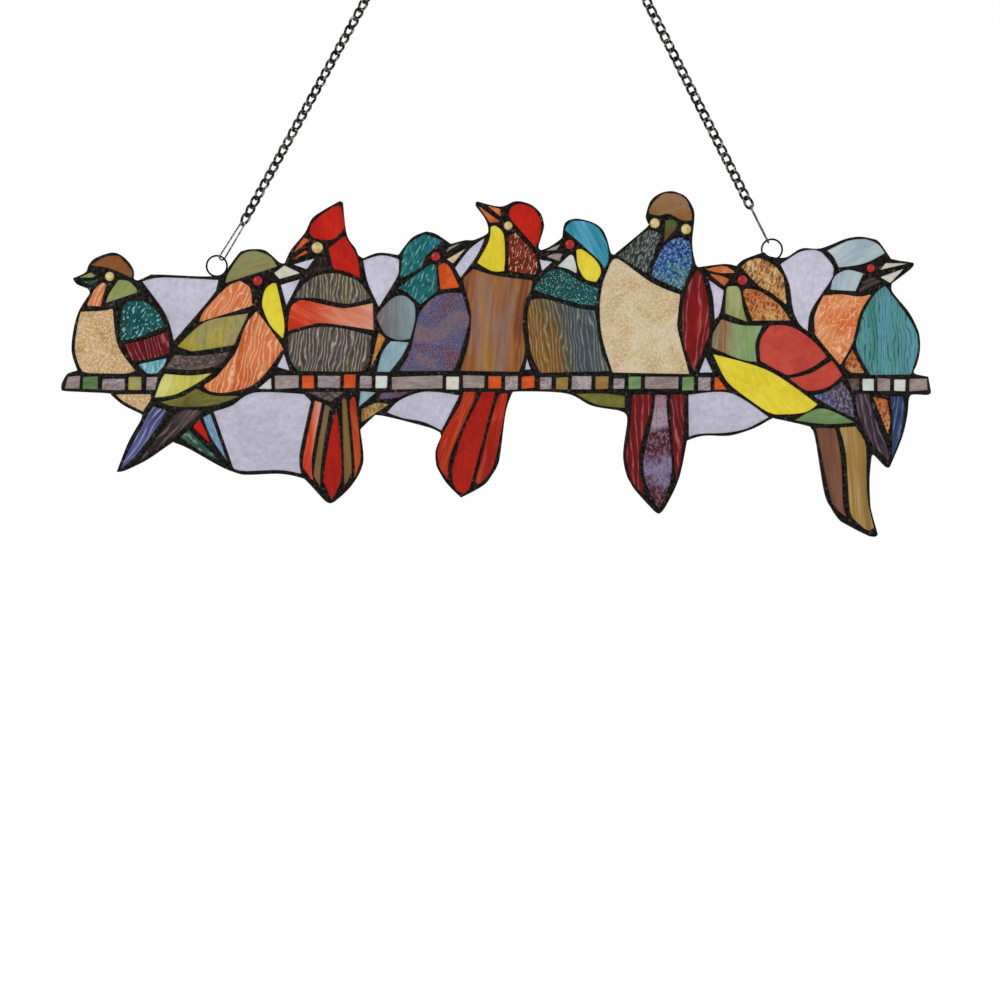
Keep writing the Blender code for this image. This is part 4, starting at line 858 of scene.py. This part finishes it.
CUT_PANES = {
    "bird_1_breast": ("cream", 20), "bird_1_wing": ("teal_glint", 30),
    "bird_2_wing": ("olive", 5), "bird_2_breast": ("peach", 12),
    "bird_3_shoulder": ("smoke", 0), "bird_3_band": ("red_pink", -60),
    "bird_3_belly": ("smoke", 8), "bird_3_tail_middle": ("deep_red", 0),
    "bird_4_wing": ("slate", 0), "bird_4_body": ("purple", 30),
    "bird_5_body": ("brown_streak", 6), "bird_5_tail_left": ("orange_red", 22),
    "bird_5_tail_middle": ("deep_red", 15), "bird_5_tail_right": ("orange_red", 12),
    "bird_6_crown": ("blue_sky", -28), "bird_6_breast": ("teal_speck", -30),
    "bird_6_belly": ("stream", -6), "bird_7_shoulder": ("charcoal", 20),
    "bird_7_breast": ("cobalt", 40), "bird_7_body": ("cream_pale", 20),
    "bird_7_leaf": ("dark_red", 4), "bird_7_tail_left": ("dark_red", -4),
    "bird_7_tail_middle": ("maroon", 0), "bird_7_tail_right": ("dark_red", -8),
    "bird_8_crown": ("gold_ripple", 20), "bird_8_breast": ("green", 0),
    "bird_8_wing": ("coral", -30), "bird_8_wing_edge": ("coral", 10),
    "bird_8_back": ("yellow", -40), "bird_8_tail_left": ("brown", -5),
    "bird_8_tail_right": ("tan", -5), "bird_9_crown": ("pale_blue", 60),
    "bird_9_back": ("orange_swirl", 30), "bird_9_breast": ("teal_ripple", -4),
    "sky_left": ("lavender", 50), "sky_under_left": ("lavender", 70),
    "sky_middle_left": ("lavender", 0), "sky_under_middle": ("lavender", 30),
    "sky_under_right": ("lavender", 60), "sky_right": ("lavender", 0),
}

SMALL_PANES = {
    "bird_1_cap": (115, 262, "bronze", 20), "bird_1_beak_upper": (88, 276, "moss", 60),
    "bird_1_beak_lower": (91, 282.5, "bottle", 60), "bird_1_throat": (98, 295, "peach", 20),
    "bird_1_cheek": (122, 292, "moss", 30), "bird_1_wing_band": (148, 348, "dark_red_band", -12),
    "bird_1_wing_tip": (153, 366, "light_blue_grain", 10), "bird_1_belly": (136, 401, "cream", 0),
    "bird_1_tail_left": (197, 443, "bottle", -50), "bird_1_tail_middle": (202, 430, "red", 0),
    "bird_1_tail_right": (212, 432, "steel_blue", -20),
    "bird_2_cap": (250, 263, "olive_green", 70), "bird_2_neck": (232, 300, "peach", 30),
    "bird_2_wing_middle": (196, 362, "umber_mauve", 80), "bird_2_wing_lower": (176, 385, "pale_yellow", 10),
    "bird_2_belly": (196, 400, "olive_dark", 80), "bird_2_throat": (272, 303, "yellow", 0),
    "bird_2_beak": (286, 272.5, "white", 0), "bird_2_tail_left": (145, 434, "indigo", 35),
    "bird_2_tail_right": (170, 434, "umber", 45),
    "bird_3_crest": (329, 223, "red", 0), "bird_3_nape": (345, 257, "red", 0),
    "bird_3_beak_upper": (302, 245, "orange", 60), "bird_3_beak_lower": (303, 254, "orange", 60),
    "bird_3_throat": (321, 265, "black", 0), "bird_3_perch_side": (327, 395, "umber_mauve", 90),
    "bird_3_tail_far_left": (312, 440, "red_pink", 10), "bird_3_tail_left": (321, 445, "tan_dark", 10),
    "bird_3_tail_right": (347, 445, "tan_dark", -10), "bird_3_tail_far_right": (357, 445, "orange_red", -10),
    "bird_4_crown": (416, 252, "teal_fine", 25), "bird_4_cheek": (424, 285, "teal_fine", 20),
    "bird_4_throat": (447, 278, "orange", 0), "bird_4_beak_upper": (451, 248.4, "pink_grey", 60),
    "bird_4_beak_lower": (454, 258, "cream_pale", 60), "bird_4_wing_tip": (393, 356, "light_blue", 15),
    "bird_4_wing_edge": (378, 348, "amber", 0),
    "bird_4_tail_left": (366, 396.5, "light_blue", 0), "bird_4_tail_middle": (371, 411, "gold_dark", 0),
    "bird_4_tail_right": (390, 396, "purple", 0),
    "bird_5_beak_upper": (497, 210.5, "beak_orange", 60), "bird_5_beak_lower": (491, 218.5, "beak_orange", 60),
    "bird_5_cap": (529, 218, "red", 0), "bird_5_throat": (496, 252, "yellow", 0),
    "bird_5_breast": (521, 256, "rust", 20), "bird_5_wing_tip": (527.4, 366.5, "lavender", 0),
    "bird_6_beak_upper": (554, 248.9, "pink_grey", 60), "bird_6_beak_lower": (556, 256.8, "pink_grey", 60),
    "bird_6_throat": (570, 264, "mint", 0), "bird_6_cheek": (588, 266, "yellow", 0),
    "bird_6_wing_tip": (544, 264, "lavender", 0), "bird_6_tail": (608, 400, "olive_dark", 90),
    "bird_7_cap": (671, 203, "bronze_pale", 70), "bird_7_beak": (669, 228, "beak_green", 0),
    "bird_7_wing_tip": (705.5, 368, "lavender", 0),
    "bird_8_beak_upper": (721, 270, "beak_orange", 60), "bird_8_beak_lower": (720, 279.5, "beak_orange", 60),
    "bird_8_collar": (717, 298, "lavender", 0), "bird_8_throat": (734, 302, "moss", 0),
    "bird_8_cheek": (762, 307, "amber_ripple", 20), "bird_8_wing_far": (838, 399, "storm", 0),
    "bird_8_back_lower": (822, 417, "leaf_green", 70),
    "bird_9_nape": (847, 281, "pale_blue", 10), "bird_9_beak_upper": (889, 265.8, "white", 60),
    "bird_9_beak_lower": (890, 277, "white", 60), "bird_9_throat": (867, 286, "umber", 60),
    "bird_9_wing_tip": (853, 364, "amber_ripple", 0), "bird_9_tail_left": (867, 418, "night", -15),
    "bird_9_tail_middle": (884, 410, "amber_ripple", 0), "bird_9_tail_right": (898, 420, "deep_blue", 6),
    "sky_2_to_3": (288, 288, "lavender", 0), "sky_at_beak": (304, 264, "lavender", 0),
    "sky_under_breast": (284, 363.5, "lavender", 0), "sky_4_to_5": (469, 258, "lavender", 0),
}

PERCH_GLASS = (
    "pink_grey", "leaf_green", "speckled", "olive", "speckled", "mint", "pink_grey", "orange",
    "speckled", "orange", "speckled", "mint", "pink_grey", "white", "pink_grey", "orange",
    "speckled", "orange", "speckled", "ochre", "speckled", "ochre", "speckled", "leaf_green",
    "pink_grey", "leaf_green", "speckled", "orange", "umber_mauve", "mint", "pink_grey", "mint",
    "pink_grey",
)
PERCH_LEAN = 80


left_over = list(range(len(smooth_panes)))


def take(test_order):
    index = min(left_over, key=test_order)
    left_over.remove(index)
    return smooth_panes[index]


def misfit_to(name):
    low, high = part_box(name)
    middle, size = ((low + high) / 2).xz, (high - low).xz
    def misfit(index):
        place, extent = middle_of(pane_outlines[index])
        return (place - middle).length + (extent - size).length
    return misfit


eye_names = sorted(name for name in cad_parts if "eye" in name)
eye_outlines = {name: take(misfit_to(name)) for name in eye_names}
cut_outlines = {name: take(misfit_to(name)) for name in CUT_PANES}
print("eyes:", len(eye_outlines), "cut panes:", len(cut_outlines), "left:", len(left_over))

# %% [markdown]
# The sheets are cut to those outlines. Each has its own place in the figure of its glass, so two panes
# of one kind never look the same.

# %% Cut and lay the glass
FIRST_CUT_SEED = 1.3
FIRST_SMALL_SEED = 60.7
FIRST_PERCH_SEED = 150.9


def lay_sheet(name, outline, kind, angle, seed):
    piece = make_sheet("glass_" + name, outline, kind, angle, seed)
    return piece


for number, (name, (kind, angle)) in enumerate(CUT_PANES.items()):
    sheet = lay_sheet(name, cut_outlines[name], kind, angle, number + FIRST_CUT_SEED)
    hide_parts(name)
print("cut panes laid:", len(CUT_PANES))

for number, (name, (x, y, kind, angle)) in enumerate(SMALL_PANES.items()):
    spot = on_panel(x, y)
    inside = [index for index in left_over if crossings(spot, smooth_panes[index])]
    if len(inside) != 1:
        print("no single pane at", name, inside)
        continue
    left_over.remove(inside[0])
    lay_sheet(name, smooth_panes[inside[0]], kind, angle, number + FIRST_SMALL_SEED)
print("small panes laid:", len(SMALL_PANES), "perch panes left:", len(left_over))

left_over.sort(key=lambda index: middle_of(smooth_panes[index])[0].x)
for number, (index, kind) in enumerate(zip(left_over, PERCH_GLASS)):
    lay_sheet("perch_%02d" % (number + 1), smooth_panes[index], kind, PERCH_LEAN,
              number + FIRST_PERCH_SEED)
print("perch panes laid:", len(left_over))

# %% [markdown]
# An eye is a pressed glass cabochon in a collar of solder. Both are profiles turned about the eye's
# middle, the collar from the lattice's face and the cabochon from below it up to its crown.

# %% The eyes
EYE_TURNS = 32
BEAD_SHARE = 0.99
BEAD_STEPS_UP = 8
COLLAR_SHARE = 1.02
FOOT_SHARE = 0.7
BEAD_SINK = SEAM_HALF * 0.7
COLLAR_TOP = SEAM_HALF * 0.5
COLLAR_FOOT = SEAM_HALF * 0.8
FOOT_DEPTH = SEAM_HALF * 0.98


def make_turned(profile, centre):
    """A profile of (radius, depth) turned about the eye's axis and closed at both ends."""
    bm = bmesh.new()
    verts = [bm.verts.new((centre.x + radius, depth, centre.y)) for radius, depth in profile]
    line = [bm.edges.new(pair) for pair in zip(verts, verts[1:])]
    bmesh.ops.spin(bm, geom=verts + line, cent=(centre.x, 0.0, centre.y), axis=(0, 1, 0),
                   angle=2 * math.pi, steps=EYE_TURNS, use_merge=True, use_duplicate=False)
    bmesh.ops.remove_doubles(bm, verts=bm.verts, dist=1e-6)
    bmesh.ops.recalc_face_normals(bm, faces=bm.faces)
    return bm


def make_bead_material(name, dark, light, rim_shade):
    material, tree, shader = new_material(name, 0.08)
    place = tree.nodes.new("ShaderNodeTexCoord")
    figure = place_group(tree, FIGURE, place.outputs["Object"], Scale=320.0)
    colour = colour_ramp(tree, figure.outputs["Figure"], [(0.1, dark), (0.9, light)])
    # Painted shade: the cabochon is darkened towards its rim, where its dome turns away from the view.
    facing = tree.nodes.new("ShaderNodeLayerWeight")
    facing.inputs["Blend"].default_value = 0.5
    edge = remap(tree, facing.outputs["Facing"], 0.1, 0.7)
    colour = mix_colours(tree, edge, colour, (*linear(rim_shade), 1.0))
    tree.links.new(colour, shader.inputs["Base Color"])
    return material


# The third colour of each bead is its painted rim shade.
GOLD_BEAD = make_bead_material("gold_bead", (196, 166, 88), (232, 212, 150), (112, 84, 40))
RED_BEAD = make_bead_material("red_bead", (150, 0, 2), (188, 10, 12), (58, 0, 4))
RED_EYED = ("bird_2", "bird_4", "bird_6", "bird_8", "bird_9")
EYE_BEADS = {name: ("red_cabochon" if name.startswith(RED_EYED) else "gold_cabochon")
             for name in eye_names}
for name, outline in eye_outlines.items():
    centre, size = middle_of(outline)
    radius = max(size) / 2
    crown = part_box(name)[0].y
    profile = [(0.0, crown)]
    for step in range(1, BEAD_STEPS_UP):
        lean = math.pi / 2 * step / BEAD_STEPS_UP
        profile.append((radius * BEAD_SHARE * math.sin(lean),
                        -BEAD_SINK + (crown + BEAD_SINK) * math.cos(lean)))
    profile += [(radius * COLLAR_SHARE, -COLLAR_TOP), (radius * COLLAR_SHARE, COLLAR_FOOT),
                (radius * FOOT_SHARE, FOOT_DEPTH), (0.0, SEAM_HALF)]
    slot_name = EYE_BEADS[name]
    bead = RED_BEAD if slot_name == "red_cabochon" else GOLD_BEAD
    eye = add_piece("bead_" + name, make_turned(profile, centre), bead, slot_name)
    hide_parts(name)
print("eyes set:", len(eye_outlines))

# %% [markdown]
# The panel hangs by two wire rings, a clip on each, and two legs of flattened curb chain. A thin jump
# ring joins each leg to the one link at the top. Round wire is swept along each path.

# %% The rings, clips and chain
RING_RADIUS = 10.25
RING_WIRE = 0.00135
HOOK_WIRE = 0.0012
LINK_WIRE = 0.0020
LINK_PITCH = 0.00685
LINK_LENGTH = LINK_PITCH + 2 * LINK_WIRE
LINK_WIDTH = 0.0070
LINK_HALVES = ((LINK_LENGTH - LINK_WIRE) / 2, (LINK_WIDTH - LINK_WIRE) / 2)
LINK_TWIST = 0.52 * LINK_WIRE
JUMP_TOP = 0.0026
JUMP_FOOT = LINK_WIDTH + LINK_WIRE + HOOK_WIRE / 2
JUMP_HALVES = ((JUMP_FOOT - JUMP_TOP) / 2, 0.0020)
CLIP_TOP_HALF = LINK_WIRE / 2 + 0.0003 + HOOK_WIRE / 2
CLIP_FOOT_HALF = {"left": 0.0026, "right": 0.0019}
RINGS = {"left": (216.8, 266.0), "right": (771.9, 249.5)}
CHAIN_ENDS = {"left": (245.0, 219.5), "right": (748.3, 202.5)}
CLIP_TURN = {"left": 40, "right": 0}
LEG_TURN = {"left": 20, "right": 0}
FACING = Vector((0.0, 1.0, 0.0))


def in_space(x, y):
    place = on_panel(x, y)
    return Vector((place.x, 0.0, place.y))


def sweep(bm, path, radius, sides, closed=True):
    """Round wire along a path, its sections kept from twisting."""
    count = len(path)
    sections = []
    up = None
    for index, point in enumerate(path):
        ahead = path[(index + 1) % count] if closed or index + 1 < count else point
        behind = path[index - 1] if closed or index else point
        along = (ahead - behind).normalized()
        if up is None:
            up = along.orthogonal().normalized()
            first_up = up
        up = (up - along * up.dot(along)).normalized()
        side = along.cross(up)
        sections.append([bm.verts.new(point + radius * (up * math.cos(turn) + side * math.sin(turn)))
                         for turn in (2 * math.pi * step / sides for step in range(sides))])
    shift = 0
    if closed:
        start = (sections[0][0].co - path[0]).normalized()
        end_along = (path[0] - path[-1]).normalized()
        carried = (up - end_along * up.dot(end_along)).normalized()
        turned = math.atan2(end_along.cross(carried).dot(start), carried.dot(start))
        shift = round(turned / (2 * math.pi / sides)) % sides
    pairs = list(zip(sections, sections[1:]))
    if closed:
        pairs.append((sections[-1], sections[0][-shift:] + sections[0][:-shift] if shift
                      else sections[0]))
    for near, far in pairs:
        for step in range(sides):
            follow = (step + 1) % sides
            bm.faces.new((near[step], near[follow], far[follow], far[step]))
    if not closed:
        bm.faces.new(sections[0])
        bm.faces.new(sections[-1][::-1])
    bmesh.ops.recalc_face_normals(bm, faces=bm.faces)


def oval_path(centre, along, across, halves, twist=0.0, steps=18):
    """The oval of one link, its corners lifted in turn by the twist."""
    long_half, wide_half = halves
    normal = along.cross(across)
    path = []
    for step in range(steps):
        turn = 2 * math.pi * step / steps
        path.append(centre + along * long_half * math.cos(turn) + across * wide_half * math.sin(turn)
                    + normal * twist * math.sin(2 * turn))
    return path


def make_clip_path(top, foot, across, foot_half):
    """A loop of wire, narrow in the chain and wide on the ring."""
    along = (foot - top).normalized()
    path = []
    for end, half, start_turn in ((foot, foot_half, 0.0), (top, CLIP_TOP_HALF, math.pi)):
        for step in range(9):
            turn = start_turn + math.pi * step / 8
            path.append(end + across * half * math.cos(turn)
                        + along * CLIP_TOP_HALF * math.sin(turn))
    return path


def add_wire(name, paths, radius, sides, material, slot_name, closed=True):
    bm = bmesh.new()
    for path in paths:
        sweep(bm, path, radius, sides, closed)
    return add_piece(name, bm, material, slot_name)


for side, centre in RINGS.items():
    middle = in_space(*centre)
    ring = [middle + RING_RADIUS * UNIT * Vector((math.cos(turn), 0.0, math.sin(turn)))
            for turn in (2 * math.pi * step / 48 for step in range(48))]
    wire = add_wire("wire_ring_" + side, [ring], RING_WIRE / 2, 12, RING_METAL, "chain_metal")
    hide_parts("ring_" + side)
    link_centre = in_space(*CHAIN_ENDS[side])
    outward = link_centre.normalized()
    link_foot = link_centre + outward * (LINK_LENGTH - LINK_WIRE) / 2
    ring_top = middle + (link_foot - middle).normalized() * RING_RADIUS * UNIT
    along = (ring_top - link_foot).normalized()
    turn = math.radians(CLIP_TURN[side])
    clip_across = FACING * math.cos(turn) + along.cross(FACING) * math.sin(turn)
    clip_path = make_clip_path(link_foot, ring_top, clip_across, CLIP_FOOT_HALF[side])
    clip = add_wire("wire_clip_" + side, [clip_path], HOOK_WIRE / 2, 10, HOOK_METAL, "hook_metal")
    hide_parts("clip_" + side)
    turn = math.radians(LEG_TURN[side])
    across = FACING.cross(outward) * math.cos(turn) + FACING * math.sin(turn)
    last = add_wire("curb_end_link_" + side,
                    [oval_path(link_centre, outward, across, LINK_HALVES, LINK_TWIST)],
                    LINK_WIRE / 2, 10, CHAIN_METAL, "chain_metal")
    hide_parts("end_link_" + side)
    leg_top = outward * (LINK_WIDTH + LINK_WIRE)
    leg_foot = link_centre - outward * (LINK_PITCH / 2)
    links = round((leg_foot - leg_top).length / LINK_PITCH)
    paths = [oval_path(leg_top.lerp(leg_foot, (number + 0.5) / links), outward, across,
                       LINK_HALVES, LINK_TWIST) for number in range(links)]
    leg = add_wire("curb_chain_" + side, paths, LINK_WIRE / 2, 8, CHAIN_METAL, "chain_metal")
    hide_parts("chain_" + side)
    add_wire("jump_ring_" + side,
             [oval_path(outward * (JUMP_TOP + JUMP_FOOT) / 2, outward, FACING, JUMP_HALVES)],
             HOOK_WIRE / 2, 10, CHAIN_METAL, "chain_metal")
    print(side, "chain links:", links)

apex = Vector((0.0, 0.0, LINK_WIRE - LINK_WIDTH / 2))
crown_link = add_wire("curb_top_link",
                      [oval_path(apex, Vector((1, 0, 0)), Vector((0, 0, 1)), LINK_HALVES)],
                      LINK_WIRE / 2, 10, CHAIN_METAL, "chain_metal")
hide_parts("top_link")

# %% [markdown]
# The panel hangs in a plain pale room. The camera stands square to it, where the photograph's frame is
# as wide as the panel's scale says, and large soft lights fill the room.

# %% The room, the lights and the camera
FRAME_PIXELS = 1000
FRAME_CENTRE = on_panel(FRAME_PIXELS / 2, FRAME_PIXELS / 2)
CAMERA_DISTANCE = 1.95
CAMERA_SENSOR = 36.0
FLOOR_LEVEL = -1.25
FLOOR_HALF = 1.2
ROOM_LIGHT = 0.7
ROOM_SEEN = 1.0


def plain_material(name, colour, roughness):
    material, tree, shader = new_material(name, roughness)
    place = tree.nodes.new("ShaderNodeTexCoord")
    figure = place_group(tree, FIGURE, place.outputs["Object"], Scale=2.0)
    tone = mix_colours(tree, figure.outputs["Figure"], (*linear(colour), 1.0),
                       (*(part * 0.98 for part in linear(colour)), 1.0))
    tree.links.new(tone, shader.inputs["Base Color"])
    return material


def add_stage():
    bm = bmesh.new()
    bmesh.ops.create_grid(bm, x_segments=1, y_segments=1, size=FLOOR_HALF,
                          matrix=Matrix.Translation((0.0, 0.0, FLOOR_LEVEL)))
    mesh = bpy.data.meshes.new("pale_floor")
    bm.to_mesh(mesh)
    bm.free()
    mesh.materials.append(plain_material("pale_floor_paint", (236, 236, 236), 0.7))
    floor = bpy.data.objects.new("pale_floor", mesh)
    bpy.context.scene.collection.objects.link(floor)


def add_light(name, place, aim, width, height, power, colour=(1.0, 1.0, 1.0)):
    light = bpy.data.lights.new(name, "AREA")
    light.shape = "RECTANGLE"
    light.size, light.size_y = width, height
    light.energy = power
    light.color = colour
    lamp = bpy.data.objects.new(name, light)
    lamp.location = place
    lamp.rotation_euler = (Vector(aim) - Vector(place)).to_track_quat("-Z", "Y").to_euler()
    bpy.context.scene.collection.objects.link(lamp)


add_stage()
target = (0.0, 0.0, FRAME_CENTRE.y)
add_light("key_window", (-1.3, -1.7, 0.4), target, 1.2, 1.2, 9.0)
add_light("fill_window", (1.6, -1.6, -0.2), target, 1.4, 1.4, 4.0)
add_light("back_window", (0.3, 1.6, 0.2), target, 1.6, 1.2, 3.0)

world = bpy.data.worlds.new("pale_room")
world.use_nodes = True
room = world.node_tree
seen = room.nodes.new("ShaderNodeLightPath")
brightness = room.nodes.new("ShaderNodeMapRange")
brightness.inputs["To Min"].default_value = ROOM_LIGHT
brightness.inputs["To Max"].default_value = ROOM_SEEN
through = room.nodes.new("ShaderNodeMath")
through.operation = "MAXIMUM"
room.links.new(seen.outputs["Is Camera Ray"], through.inputs[0])
room.links.new(seen.outputs["Is Transmission Ray"], through.inputs[1])
room.links.new(through.outputs[0], brightness.inputs["Value"])
room.links.new(brightness.outputs["Result"], room.nodes["Background"].inputs["Strength"])
room.nodes["Background"].inputs["Color"].default_value = (1.0, 1.0, 1.0, 1.0)
bpy.context.scene.world = world
bpy.context.scene.view_settings.view_transform = "Standard"

camera_data = bpy.data.cameras.new("front_camera")
camera_data.sensor_width = CAMERA_SENSOR
camera_data.lens = CAMERA_SENSOR * CAMERA_DISTANCE / (FRAME_PIXELS * UNIT)
camera = bpy.data.objects.new("front_camera", camera_data)
camera.location = (FRAME_CENTRE.x, -CAMERA_DISTANCE, FRAME_CENTRE.y)
camera.rotation_euler = (math.radians(90), 0.0, 0.0)
bpy.context.scene.collection.objects.link(camera)
bpy.context.scene.camera = camera
print("camera lens in mm:", round(camera_data.lens, 1))

# %% Finish
bpy.context.view_layer.update()
